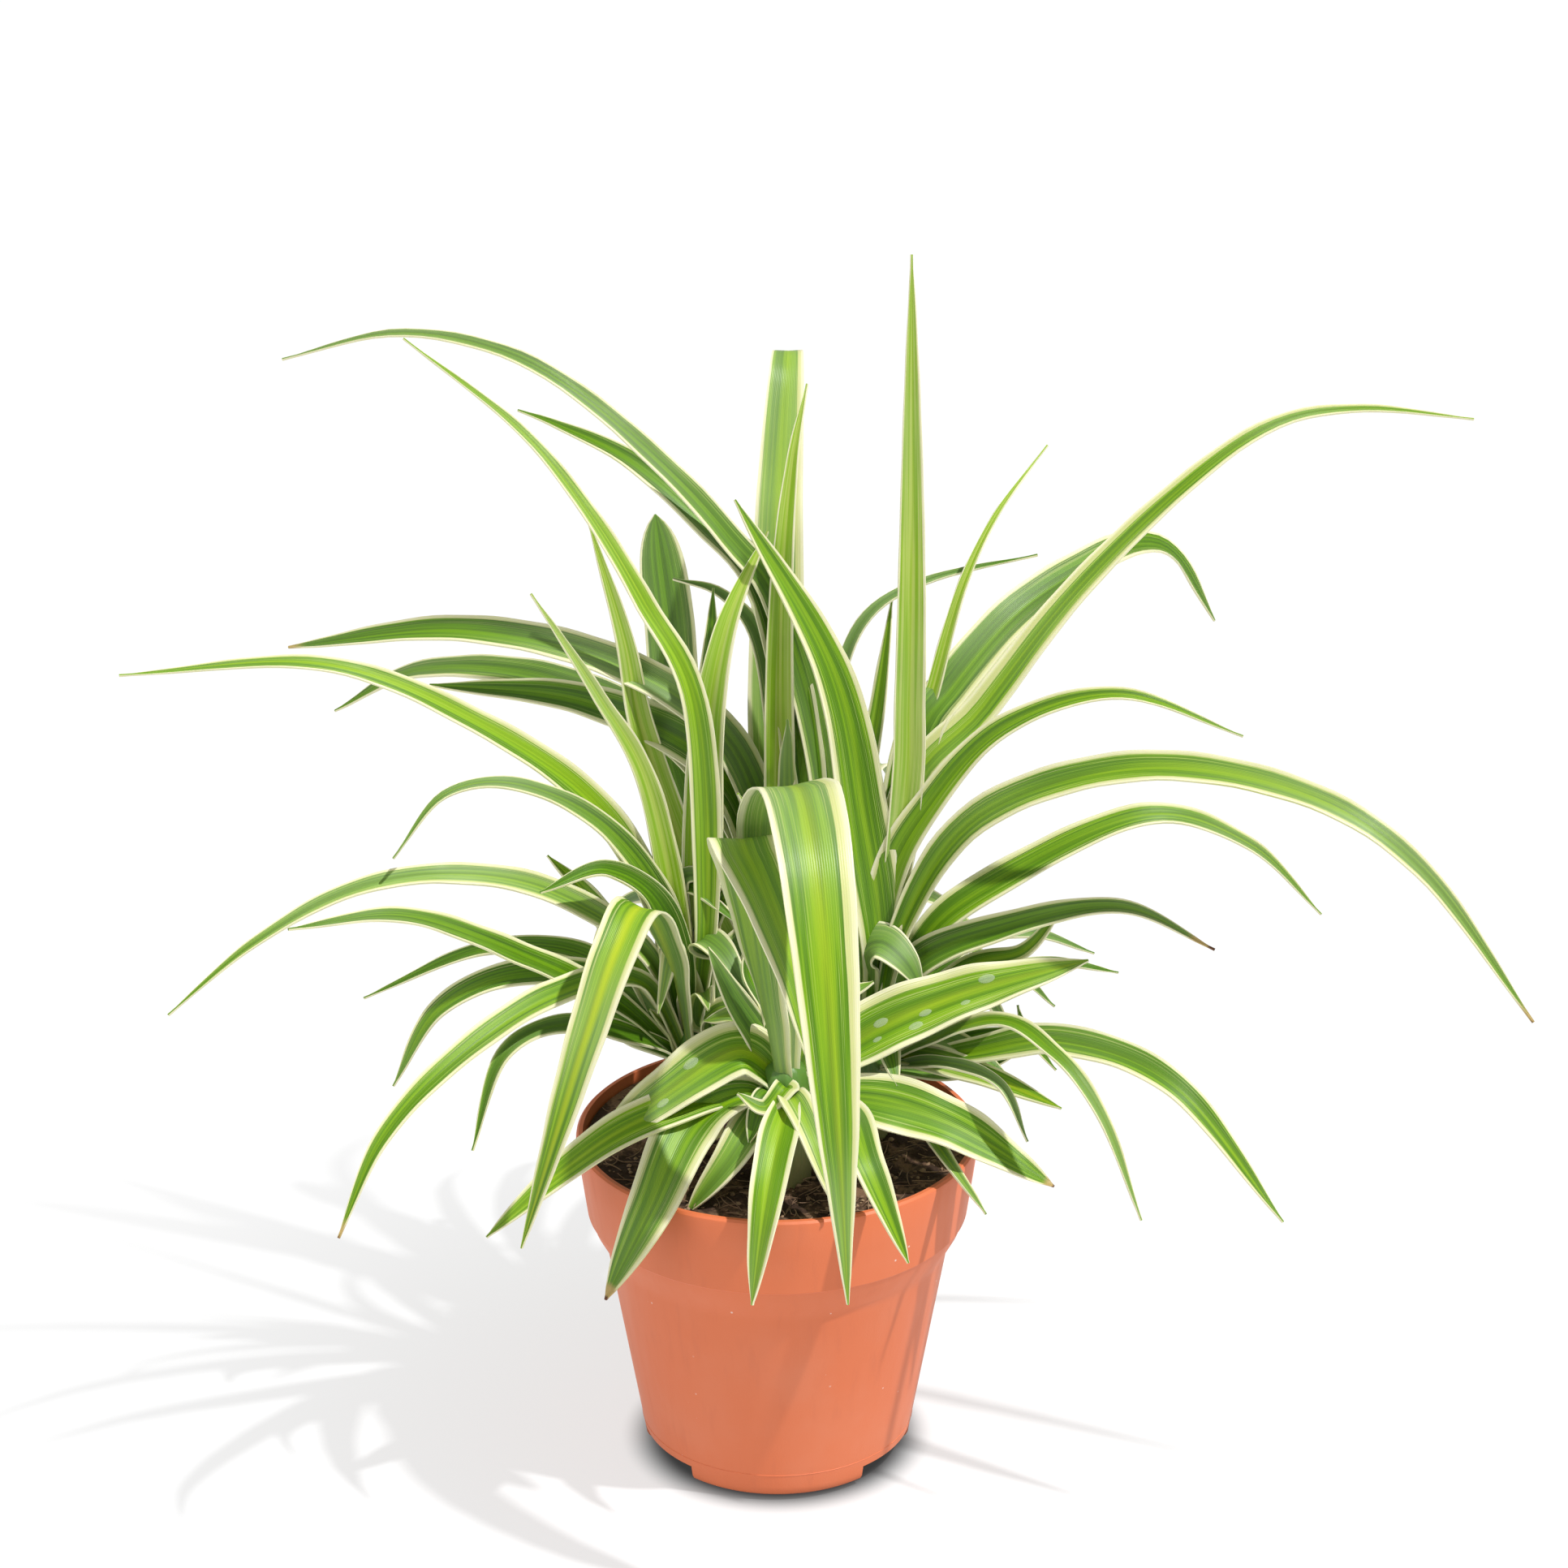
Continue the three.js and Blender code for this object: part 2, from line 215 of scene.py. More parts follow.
def move_points(piece: bpy.types.Object, points: np.ndarray) -> None:
    """Moves an object's vertices.

    Args:
        piece: a mesh object.
        points: one row of x, y and z for each vertex, in metres.
    """
    piece.data.vertices.foreach_set("co", points.astype(np.float32).ravel())
    piece.data.update()


def finish_piece(piece: bpy.types.Object, slot: str, *nodes: str) -> None:
    """Ties a finished piece to the frame and reports it.

    Args:
        piece: the finished object.
        slot: not used.
        nodes: the frame's nodes that it stands for.
    """
    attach(piece, BODY)
    if nodes:
        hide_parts(*nodes)
    log.info("%s: %d faces", piece.name, len(piece.data.polygons))


# ---------------------------------------------------------------- materials
class Shader:
    """One node material under construction, with short calls for the nodes that it needs."""

    def __init__(self, name: str, **surface: Any) -> None:
        """Starts a material.

        Args:
            name: the material's name.
            surface: uniform values of the surface shader's sockets, with _ for each space.
        """
        self.material = bpy.data.materials.new(name)
        self.material.use_nodes = True
        self.tree = self.material.node_tree
        self.surface = self.tree.nodes["Principled BSDF"]
        for key, value in surface.items():
            self.surface.inputs[key.replace("_", " ")].default_value = value

    def feed(self, socket: bpy.types.NodeSocket, value: Any) -> None:
        """Links a socket to another node's output, or sets its own value.

        Args:
            socket: the socket to fill.
            value: a node's output, or the value that the socket takes.
        """
        if isinstance(value, bpy.types.NodeSocket):
            self.tree.links.new(value, socket)
        else:
            socket.default_value = value

    def set_surface(self, socket: str, value: bpy.types.NodeSocket) -> None:
        """Links a pattern to a socket of the surface shader."""
        self.tree.links.new(value, self.surface.inputs[socket])

    def node(self, kind: str, inputs: dict[int | str, Any], **settings: Any) -> bpy.types.Node:
        """Adds a node.

        Args:
            kind: its type, without the leading ShaderNode.
            inputs: a value or another node's output for each socket.
            settings: the node's own properties.

        Returns:
            The node.
        """
        made = self.tree.nodes.new(f"ShaderNode{kind}")
        for key, value in settings.items():
            setattr(made, key, value)
        for key, value in inputs.items():
            self.feed(made.inputs[key], value)
        return made

    def math(self, operation: str, first: Value, second: Value = 0.0) -> bpy.types.NodeSocket:
        """Adds a sum, product or other operation on two numbers and returns its result."""
        return self.node("Math", {0: first, 1: second}, operation=operation).outputs[0]

    def scaled(self, value: Value, gain: float, offset: float = 0.0) -> bpy.types.NodeSocket:
        """Multiplies a number by a gain, adds an offset and returns the result."""
        inputs = {0: value, 1: gain, 2: offset}
        return self.node("Math", inputs, operation="MULTIPLY_ADD").outputs[0]

    def swing(self, value: Value, width: float) -> bpy.types.NodeSocket:
        """Makes a pattern from 0 to 1 swing evenly about zero, this far in all."""
        return self.scaled(value, width, -width / 2)

    def step(self, value: Value, low: Value, high: Value) -> bpy.types.NodeSocket:
        """Rises smoothly from 0 where a number is low to 1 where it is high."""
        inputs = {"Value": value, "From Min": low, "From Max": high}
        return self.node("MapRange", inputs, interpolation_type="SMOOTHSTEP").outputs[0]

    def mix(self, share: Value, first: Any, second: Any) -> bpy.types.NodeSocket:
        """Mixes two colours.

        Args:
            share: the share of the second.
            first: a colour or a node's output.
            second: a colour or a node's output.

        Returns:
            The mixed colour.
        """
        first_colour, second_colour, mixed_colour = 6, 7, 2
        made = self.node("Mix", {"Factor": share}, data_type="RGBA")
        self.feed(made.inputs[first_colour], first)
        self.feed(made.inputs[second_colour], second)
        return made.outputs[mixed_colour]

    def ramp(self, value: Value, *stops: tuple[float, Colour]) -> bpy.types.NodeSocket:
        """Turns a number into a colour.

        Args:
            value: the number, from 0 to 1.
            stops: a place from 0 to 1 and the colour there.

        Returns:
            The colour output.
        """
        made = self.node("ValToRGB", {0: value})
        elements = made.color_ramp.elements
        for place, _ in stops[len(elements) :]:
            elements.new(place)
        for element, (place, colour) in zip(elements, stops):
            element.position = place
            element.color = colour
        return made.outputs[0]

    def vector(self, x: Value, y: Value, z: Value) -> bpy.types.NodeSocket:
        """Puts three numbers together as a vector."""
        return self.node("CombineXYZ", {0: x, 1: y, 2: z}).outputs[0]

    def parts(self, vector: bpy.types.NodeSocket) -> list[bpy.types.NodeSocket]:
        """Splits a vector into its x, y and z."""
        return list(self.node("SeparateXYZ", {0: vector}).outputs)

    def stretched(self, place: bpy.types.NodeSocket, rates: Triple) -> bpy.types.NodeSocket:
        """Scales a place by its own rate on each axis, so that a pattern on it runs long."""
        return self.node("Mapping", {"Vector": place, "Scale": rates}).outputs[0]

    def noise(self, place: Any, scale: float = 1.0, detail: float = 2.0) -> bpy.types.NodeSocket:
        """Adds a noise pattern and returns its strength, from 0 to 1."""
        inputs = {"Vector": place, "Scale": scale, "Detail": detail}
        return self.node("TexNoise", inputs).outputs[0]

    def object_place(self) -> bpy.types.NodeSocket:
        """Returns each point's place in the object, in metres."""
        return self.node("TexCoord", {}).outputs["Object"]

    def uv_place(self) -> bpy.types.NodeSocket:
        """Returns each point's place on a leaf: along it, then across it, from 0 to 1."""
        return self.node("UVMap", {}, uv_map="UVMap").outputs[0]

    def attribute(self, name: str) -> bpy.types.NodeSocket:
        """Returns a vector attribute of the mesh."""
        return self.node("Attribute", {}, attribute_name=name).outputs["Vector"]

    def bump(self, height: Value, strength: float, distance: float) -> None:
        """Gives the surface relief.

        Args:
            height: the relief pattern.
            strength: its share, from 0 to 1.
            distance: its depth in metres.
        """
        inputs = {"Strength": strength, "Distance": distance, "Height": height}
        self.set_surface("Normal", self.node("Bump", inputs).outputs[0])


def rgb(red: float, green: float, blue: float) -> Colour:
    """A colour in scene-linear values, opaque."""
    return (red, green, blue, 1.0)


# ---------------------------------------------------------------- finishes
@dataclass(frozen=True)
class PotFinish:
    """Satin terracotta-coloured plastic with faint scuffs, specks and a fine moulded grain.

    Rates count per metre. A band says where in a pattern a mark starts and where it is full.
    """

    colour: Colour = rgb(0.73, 0.175, 0.062)
    worn: Colour = rgb(0.74, 0.22, 0.105)
    stained: Colour = rgb(0.56, 0.14, 0.07)
    speck: Colour = rgb(0.86, 0.74, 0.66)
    grain_size: float = 0.0006
    scuff_size: float = 0.03
    streak_rates: Triple = (260.0, 260.0, 28.0)
    speck_rate: float = 210.0
    speck_patch_rate: float = 55.0
    worn_band: Span = (0.4, 0.75)
    stained_band: Span = (0.56, 0.8)
    speck_band: Span = (0.09, 0.05)
    speck_patch_band: Span = (0.6, 0.66)
    worn_share: float = 0.5
    stained_share: float = 0.2
    speck_share: float = 0.7
    specular: float = 0.45
    roughness: float = 0.42
    streak_roughness: float = 0.2
    scuff_relief: float = 0.8
    relief: float = 0.25
    relief_depth: float = 0.00012

    def material(self) -> bpy.types.Material:
        """Builds the material.

        Returns:
            The pot's plastic.
        """
        shader = Shader("pot_plastic")
        shader.surface.inputs["Specular IOR Level"].default_value = self.specular
        place = shader.object_place()
        scuffs = shader.noise(place, 1 / self.scuff_size, detail=4.0)
        streaks = shader.noise(shader.stretched(place, self.streak_rates), detail=3.0)
        grain = shader.noise(place, 1 / self.grain_size)
        cells = shader.node("TexVoronoi", {"Vector": place, "Scale": self.speck_rate})
        worn = shader.math("MULTIPLY", shader.step(scuffs, *self.worn_band), self.worn_share)
        stained = shader.step(streaks, *self.stained_band)
        stained = shader.math("MULTIPLY", stained, self.stained_share)
        colour = shader.mix(stained, shader.mix(worn, self.colour, self.worn), self.stained)
        patches = shader.noise(place, self.speck_patch_rate, detail=1.0)
        rare = shader.step(patches, *self.speck_patch_band)
        specks = shader.step(cells.outputs["Distance"], *self.speck_band)
        specks = shader.math("MULTIPLY", specks, rare)
        specks = shader.math("MULTIPLY", specks, self.speck_share)
        shader.set_surface("Base Color", shader.mix(specks, colour, self.speck))
        roughness = shader.scaled(streaks, self.streak_roughness, self.roughness)
        shader.set_surface("Roughness", roughness)
        relief = shader.math("ADD", grain, shader.scaled(scuffs, self.scuff_relief))
        shader.bump(relief, self.relief, self.relief_depth)
        return shader.material


@dataclass(frozen=True)
class SoilFinish:
    """Damp dark peat, lighter where its crumbs have dried. Rates count per metre."""

    damp: Colour = rgb(0.042, 0.022, 0.013)
    dry: Colour = rgb(0.2, 0.115, 0.066)
    fibre: Colour = rgb(0.34, 0.22, 0.13)
    crumb_size: float = 0.0016
    patch_rate: float = 95.0
    patch_band: Span = (0.2, 0.8)
    dry_band: Span = (0.16, 0.46)
    specular: float = 0.25
    relief: float = 0.9
    relief_depth: float = 0.0009
    fibre_rate: float = 130.0
    fibre_band: Span = (0.36, 0.64)
    fibre_grain_rate: float = 2500.0
    fibre_relief: float = 0.5
    fibre_relief_depth: float = 0.0002

    def material(self) -> bpy.types.Material:
        """Builds the soil's material.

        Returns:
            The damp peat.
        """
        shader = Shader("soil", Roughness=0.92)
        shader.surface.inputs["Specular IOR Level"].default_value = self.specular
        place = shader.object_place()
        crumbs = shader.noise(place, 1 / self.crumb_size, detail=5.0)
        patches = shader.noise(place, self.patch_rate, detail=3.0)
        dryness = shader.math("MULTIPLY", crumbs, shader.step(patches, *self.patch_band))
        colour = shader.mix(shader.step(dryness, *self.dry_band), self.damp, self.dry)
        shader.set_surface("Base Color", colour)
        shader.bump(crumbs, self.relief, self.relief_depth)
        return shader.material

    def fibre_material(self) -> bpy.types.Material:
        """Builds the material of the fibres and crumbs that lie in the soil.

        Returns:
            The dry litter.
        """
        shader = Shader("soil_fibre", Roughness=0.8)
        place = shader.object_place()
        patches = shader.noise(place, self.fibre_rate)
        colour = shader.mix(shader.step(patches, *self.fibre_band), self.dry, self.fibre)
        shader.set_surface("Base Color", colour)
        grain = shader.noise(place, self.fibre_grain_rate)
        shader.bump(grain, self.fibre_relief, self.fibre_relief_depth)
        return shader.material


@dataclass(frozen=True)
class LeafFinish:
    """Satin leaf skin: green with cream margins, long streaks, fine veins and dried tips, with slow
    patches of painted grey-green sheen.

    A band says where in a pattern a mark starts and where it is full. Patterns run along the
    leaf slowly, and across it by their own count over half its width.
    """

    deep: Colour = rgb(0.026, 0.088, 0.005)
    middle: Colour = rgb(0.1, 0.245, 0.004)
    bright: Colour = rgb(0.25, 0.44, 0.008)
    # pale: the palest green, reached mostly by PALE leaves; partly their own colour, partly painted
    # glow of light shining through backlit leaves.
    pale: Colour = rgb(0.45, 0.56, 0.12)
    # Painted sheen: a pale grey-green painted reflection, mixed into the green in slow patches.
    painted_sheen: Colour = rgb(0.4, 0.5, 0.26)
    stripe: Colour = rgb(0.5, 0.58, 0.02)
    inner_cream: Colour = rgb(0.62, 0.63, 0.27)
    outer_cream: Colour = rgb(0.86, 0.82, 0.56)
    ochre: Colour = rgb(0.5, 0.36, 0.13)
    brown: Colour = rgb(0.14, 0.055, 0.02)
    under: Colour = rgb(0.3, 0.4, 0.2)
    under_share: float = 0.22
    green_stops: tuple[float, ...] = (0.05, 0.42, 0.72, 1.0)

    along_rate: float = 14.0  # per metre
    wander_count: float = 1.6
    band_count: float = 4.2
    hair_count: float = 30.0
    band_edges: Span = (0.36, 0.64)
    band_contrast: float = 0.3
    hair_contrast: float = 0.5

    lopsided: float = 0.45
    lopsided_draw: float = 7.3
    margin_wander: float = 0.2
    margin_fray: float = 0.14
    margin_softness: float = 0.03
    line_reach: float = 0.5
    line_band: Span = (0.57, 0.63)
    line_share: float = 0.65
    outer_band: Span = (0.72, 0.95)
    cream_hair_band: Span = (0.5, 0.75)

    # Where the painted sheen lies: slow patches along the leaf, more of it towards the margins.
    painted_sheen_rate: float = 0.8
    painted_sheen_row: float = 3.0
    painted_sheen_band: Span = (0.42, 0.7)
    painted_sheen_middle: float = 0.22
    painted_sheen_outward: float = 0.3
    stripe_band: Span = (0.0, 0.36)
    stripe_gain: float = 1.4

    veins: float = 30.0
    vein_share: float = 0.06
    vein_relief: float = 0.3
    patch_rate: float = 60.0  # per metre
    patch_relief: float = 2.5
    relief: float = 0.35
    relief_depth: float = 0.00018

    least_tip: float = 0.01
    tip_wander: float = 0.016
    ochre_band: Span = (-0.02, 0.008)
    brown_from: float = 0.6
    brown_edge: float = 0.01

    specular: float = 0.32
    top_roughness: float = 0.3
    under_roughness: float = 0.45
    patch_roughness: float = 0.2
    glow_colour: Triple = (0.6, 1.0, 0.1)

    def stripes(self, shader: Shader, underside: bool) -> bpy.types.NodeSocket:
        """Builds the colour of one side.

        Args:
            shader: the material that it is built in.
            underside: whether it is the paler back of the leaf.

        Returns:
            The colour.
        """
        along, across, _ = shader.parts(shader.uv_place())
        margin, middle, tone = shader.parts(shader.attribute("stripes"))
        dried, seed, length = shader.parts(shader.attribute("extent"))
        signed = shader.scaled(across, 2.0, -1.0)
        side = shader.math("ABSOLUTE", signed)
        slow = shader.scaled(shader.math("MULTIPLY", along, length), self.along_rate)
        wander, bands, hairs = (
            shader.noise(shader.vector(slow, shader.scaled(signed, count), seed), detail=detail)
            for count, detail in (
                (self.wander_count, 2.0),
                (self.band_count, 1.0),
                (self.hair_count, 3.0),
            )
        )

        lean = shader.math("SINE", shader.scaled(seed, self.lopsided_draw))
        leaning = shader.math("MULTIPLY", signed, lean)
        wider = shader.math("MULTIPLY", margin, shader.scaled(leaning, self.lopsided, 1.0))
        start = shader.math("SUBTRACT", 1.0, wider)
        edge = shader.math("ADD", side, shader.swing(wander, self.margin_wander))
        edge = shader.math("ADD", edge, shader.swing(hairs, self.margin_fray))
        soft = self.margin_softness
        inner, outer = (shader.scaled(start, 1.0, shift) for shift in (-soft, soft))
        cream = shader.step(edge, inner, outer)
        near = shader.step(edge, shader.scaled(start, 1.0, -self.line_reach), start)
        lines = shader.math("MULTIPLY", near, shader.step(hairs, *self.line_band))
        cream = shader.math("MAXIMUM", cream, shader.math("MULTIPLY", lines, self.line_share))

        banded = shader.swing(shader.step(bands, *self.band_edges), self.band_contrast)
        shade = shader.math("ADD", tone, banded)
        shade = shader.math("ADD", shade, shader.swing(hairs, self.hair_contrast))
        greens = (self.deep, self.middle, self.bright, self.pale)
        green = shader.ramp(shade, *zip(self.green_stops, greens))
        # Painted sheen: slow patches of pale grey-green painted reflection, stronger towards the
        # margins.
        painted_sheen_place = shader.vector(shader.scaled(slow, self.painted_sheen_rate), self.painted_sheen_row, seed)
        painted_sheen = shader.step(shader.noise(painted_sheen_place, detail=1.0), *self.painted_sheen_band)
        outward = shader.scaled(side, self.painted_sheen_outward, self.painted_sheen_middle)
        green = shader.mix(shader.math("MULTIPLY", painted_sheen, outward), green, self.painted_sheen)
        centre = shader.math("SUBTRACT", 1.0, shader.step(side, *self.stripe_band))
        centre = shader.math("MULTIPLY", centre, shader.scaled(wander, self.stripe_gain))
        green = shader.mix(shader.math("MULTIPLY", centre, middle), green, self.stripe)

        pale = shader.step(side, *self.outer_band)
        pale = shader.mix(pale, self.inner_cream, self.outer_cream)
        pale = shader.mix(shader.step(hairs, *self.cream_hair_band), pale, self.inner_cream)
        colour = shader.mix(cream, green, pale)
        veins = shader.math("SINE", shader.scaled(signed, math.pi * self.veins))
        veins = shader.scaled(veins, self.vein_share, self.vein_share)
        colour = shader.mix(veins, colour, self.bright)
        if underside:
            colour = shader.mix(self.under_share, colour, self.under)
        return self.withered(shader, colour, along, dried, wander)

    def withered(
        self,
        shader: Shader,
        colour: bpy.types.NodeSocket,
        along: bpy.types.NodeSocket,
        dried: bpy.types.NodeSocket,
        wander: bpy.types.NodeSocket,
    ) -> bpy.types.NodeSocket:
        """Turns a leaf's tip ochre and then brown.

        Args:
            shader: the material that it is built in.
            colour: the fresh leaf's colour.
            along: each point's share of the leaf's length.
            dried: the share of the length that has dried.
            wander: the pattern that makes its edge uneven.

        Returns:
            The colour with its tip.
        """
        ends = shader.math("SUBTRACT", shader.math("ADD", along, dried), 1.0)
        ends = shader.math("ADD", ends, shader.swing(wander, self.tip_wander))
        has_tip = shader.step(dried, 0.0, self.least_tip)
        faded = shader.math("MULTIPLY", shader.step(ends, *self.ochre_band), has_tip)
        gone = shader.math("MULTIPLY", dried, self.brown_from)
        withered = shader.step(shader.math("SUBTRACT", ends, gone), 0.0, self.brown_edge)
        withered = shader.math("MULTIPLY", withered, has_tip)
        return shader.mix(withered, shader.mix(faded, colour, self.ochre), self.brown)

    def material(self, underside: bool) -> bpy.types.Material:
        """Builds the material of one side.

        Args:
            underside: whether it is the paler, duller back of the leaf.

        Returns:
            The material.
        """
        name = "leaf_under" if underside else "leaf_top"
        shader = Shader(name, Subsurface_Weight=0.08, Subsurface_Scale=0.0015)
        shader.surface.inputs["Specular IOR Level"].default_value = self.specular
        shader.surface.inputs["Subsurface Radius"].default_value = self.glow_colour
        shader.set_surface("Base Color", self.stripes(shader, underside))

        patches = shader.noise(shader.object_place(), self.patch_rate, detail=3.0)
        smoothest = self.under_roughness if underside else self.top_roughness
        roughness = shader.scaled(patches, self.patch_roughness, smoothest)
        shader.set_surface("Roughness", roughness)
        across = shader.parts(shader.uv_place())[1]
        veins = shader.math("SINE", shader.scaled(across, math.tau * self.veins))
        veins = shader.scaled(veins, self.vein_relief)
        relief = shader.math("ADD", veins, shader.scaled(patches, self.patch_relief))
        shader.bump(relief, self.relief, self.relief_depth)
        return shader.material


@dataclass(frozen=True)
class SheathFinish:
    """Pale sheathed leaf bases, greener towards the top."""

    low: Colour = rgb(0.3, 0.3, 0.12)
    high: Colour = rgb(0.1, 0.22, 0.03)
    low_stop: float = 0.15
    high_stop: float = 0.85
    rise: Span = (0.095, 0.14)  # metres above the floor
    streak_rates: Triple = (900.0, 900.0, 25.0)  # per metre
    streak_contrast: float = 0.7
    relief: float = 0.5
    relief_depth: float = 0.0003

    def material(self) -> bpy.types.Material:
        """Builds the material.

        Returns:
            The stems' material.
        """
        shader = Shader("sheath", Roughness=0.45, Subsurface_Weight=0.1, Subsurface_Scale=0.002)
        place = shader.object_place()
        height = shader.parts(place)[2]
        streaks = shader.noise(shader.stretched(place, self.streak_rates))
        rise = shader.step(height, *self.rise)
        share = shader.math("ADD", rise, shader.swing(streaks, self.streak_contrast))
        stops = ((self.low_stop, self.low), (self.high_stop, self.high))
        shader.set_surface("Base Color", shader.ramp(share, *stops))
        shader.bump(streaks, self.relief, self.relief_depth)
        return shader.material


@dataclass(frozen=True)
class WaterFinish:
    """Clear water, mostly seen through, with bright glints and a pale tint that is painted
    reflection.
    """

    # Pale colour laid over the drops: a painted reflection of the bright studio.
    pale_painted_reflection: Colour = rgb(0.75, 0.85, 0.6)
    roughness: float = 0.04
    cover: float = 0.3

    def material(self) -> bpy.types.Material:
        """Builds the material."""
        surface = {"Base_Color": self.pale_painted_reflection, "Roughness": self.roughness, "Alpha": self.cover}
        return Shader("water", **surface).material


@dataclass(frozen=True)
class FloorFinish:
    """Plain white floor that glows: painted light, growing away from the pot, that fades the cast
    shadow there, and a painted near-black contact shadow right round its foot.
    """

    # under: painted contact shadow, the near-black floor colour right round the pot's foot.
    under: Colour = rgb(0.03, 0.03, 0.03)
    # near and far: floor colours under the painted glow, darker far out, where the glow rather than
    # the lamps lights the floor.
    near: Colour = rgb(0.3, 0.3, 0.3)
    far: Colour = rgb(0.06, 0.06, 0.06)
    # Glow strengths of the floor's painted light: lowest in the painted contact shadow, highest far
    # from the pot.
    contact_shadow_glow: float = 0.04
    near_glow: float = 0.66
    far_glow: float = 0.95
    contact_shadow: Span = (0.035, 0.049)  # metres from the pot's axis
    fade: Span = (0.06, 0.34)  # metres from the pot's axis

    def material(self) -> bpy.types.Material:
        """Builds the material.

        Returns:
            The floor's material.
        """
        shader = Shader("floor", Roughness=0.9)
        shader.surface.inputs["Emission Color"].default_value = rgb(1, 1, 1)
        shader.surface.inputs["Specular IOR Level"].default_value = 0.0
        place = shader.object_place()
        reach = shader.node("VectorMath", {0: place}, operation="LENGTH").outputs["Value"]
        # Painted shade and light: a dark ring round the foot, and a glow that grows outwards and
        # fades the cast shadow.
        away = shader.step(reach, *self.fade)
        clear = shader.step(reach, *self.contact_shadow)
        glow = shader.scaled(clear, self.near_glow - self.contact_shadow_glow, self.contact_shadow_glow)
        rise = shader.scaled(away, self.far_glow - self.near_glow)
        shader.set_surface("Emission Strength", shader.math("ADD", glow, rise))
        colour = shader.mix(away, self.near, self.far)
        shader.set_surface("Base Color", shader.mix(clear, self.under, colour))
        return shader.material


# ---------------------------------------------------------------- pot
@dataclass
class Pot:
    """The moulded nursery pot, with a flared collar, three feet and the slots between them."""

    height: float = 104.0
    rim_radius: float = 60.0
    rim_round: float = 0.8
    rim_corner: Point = (0.2, 0.8)  # how far in and down its corner lies, in shares of rim_round
    rim_band: float = 12.0
    rim_band_inset: float = 1.3
    ridge_height: float = 79.0
    ridge: float = 0.5
    collar_radius: float = 57.0
    curve_drop: float = 3.5
    curve_inset: float = 1.8
    wall_top_height: float = 67.0
    wall_top_radius: float = 51.2
    shoulder: float = 1.0
    shoulder_height: float = 3.0
    foot_height: float = 5.0
    foot_wall_radius: float = 40.6
    foot_curve: tuple[Point, ...] = ((0.6, 0.3), (0.82, 0.48), (0.95, 0.72))  # shares out and up
    foot_line: float = 9.6
    foot_line_out: float = 0.12
    foot_radius: float = 35.5
    foot_round: float = 0.6
    wall: float = 1.4
    lip_inset: float = 0.6
    floor: float = 1.6
    slots: int = 3
    slot_angle: float = 42.0
    slot_height: float = 7.0
    slot_inner_radius: float = 33.0
    weld: float = 0.001  # corners closer than this become one
    smooth_angle: float = 20.05
    segments: int = 160

    def inner_foot_radius(self) -> float:
        """Inside radius of the wall at the foot line."""
        return self.foot_wall_radius - self.wall

    def wall_radius(self, height: float) -> float:
        """Outside radius of the tapered wall at a height."""
        share = (height - self.foot_height) / (self.wall_top_height - self.foot_height)
        return self.foot_wall_radius + share * (self.wall_top_radius - self.foot_wall_radius)

    def outline(self) -> Outline:
        """Lays out the pot's outline.

        Returns:
            Radius and height of each ring, up the outside and down the inside.
        """
        collar, rim, foot = self.collar_radius, self.rim_radius, self.foot_radius
        turned_out = self.foot_wall_radius - foot
        line, thin = self.foot_line, self.foot_line_out
        ridge, curve = self.ridge_height, self.ridge_height - self.curve_drop
        inward, down = (share * self.rim_round for share in self.rim_corner)
        outside = [
            (foot - self.foot_round, 0.0),
            (foot, self.foot_round),
            *((foot + out * turned_out, up * self.foot_height) for out, up in self.foot_curve),
            (self.foot_wall_radius, self.foot_height),
            (self.wall_radius(line - thin), line - thin),
            (self.wall_radius(line) + thin, line),
            (self.wall_radius(line + thin), line + thin),
            (self.wall_top_radius, self.wall_top_height),
            (self.wall_top_radius + self.shoulder, self.wall_top_height + self.shoulder_height),
            (collar - self.curve_inset, curve),
            (collar - self.ridge, ridge),
            (collar, ridge + self.ridge),
            (rim - self.rim_band_inset, self.height - self.rim_band),
            (rim, self.height - 2 * self.rim_round),
            (rim - inward, self.height - down),
            (rim - self.rim_round, self.height),
        ]
        inside = [
            (rim - self.wall - self.lip_inset, self.height),
            (rim - self.wall - self.rim_round, self.height - self.rim_round),
            (collar - self.wall, ridge + self.ridge),
            (collar - self.curve_inset - self.wall, curve),
            (self.wall_top_radius - self.wall, self.wall_top_height),
            (self.inner_foot_radius(), self.foot_height),
            (foot + self.foot_round, self.floor),
        ]
        return outside + inside

    def slot_cutter(self, index: int) -> bpy.types.Object:
        """Makes the wedge that is cut away for one drain slot.

        Args:
            index: which of the slots.

        Returns:
            The wedge, outside the slots' inner radius.
        """
        below = 1.0
        depth = self.slot_height + below
        middle = (0, 0, (self.slot_height - below) / 2 * MM)
        select_only()
        bpy.ops.mesh.primitive_cylinder_add(
            vertices=self.segments, radius=self.rim_radius * MM, depth=depth * MM, location=middle
        )
        wedge = named(f"slot_{index}")
        turn = math.pi / 2 + index * math.tau / self.slots
        for side in (-1, 1):
            angle = turn + side * math.radians(self.slot_angle / 2)
            outward = (-side * math.sin(angle), side * math.cos(angle), 0)
            bpy.ops.object.mode_set(mode="EDIT")
            bpy.ops.mesh.select_all(action="SELECT")
            bpy.ops.mesh.bisect(
                plane_co=(0, 0, 0), plane_no=outward, use_fill=True, clear_outer=True
            )
            bpy.ops.object.mode_set(mode="OBJECT")
        bpy.ops.mesh.primitive_cylinder_add(
            vertices=self.segments, radius=self.slot_inner_radius * MM, depth=depth * MM * 2
        )
        core = named("slot_core")
        apply_modifier(wedge, "BOOLEAN", operation="DIFFERENCE", object=core, solver="EXACT")
        discard(core)
        return wedge

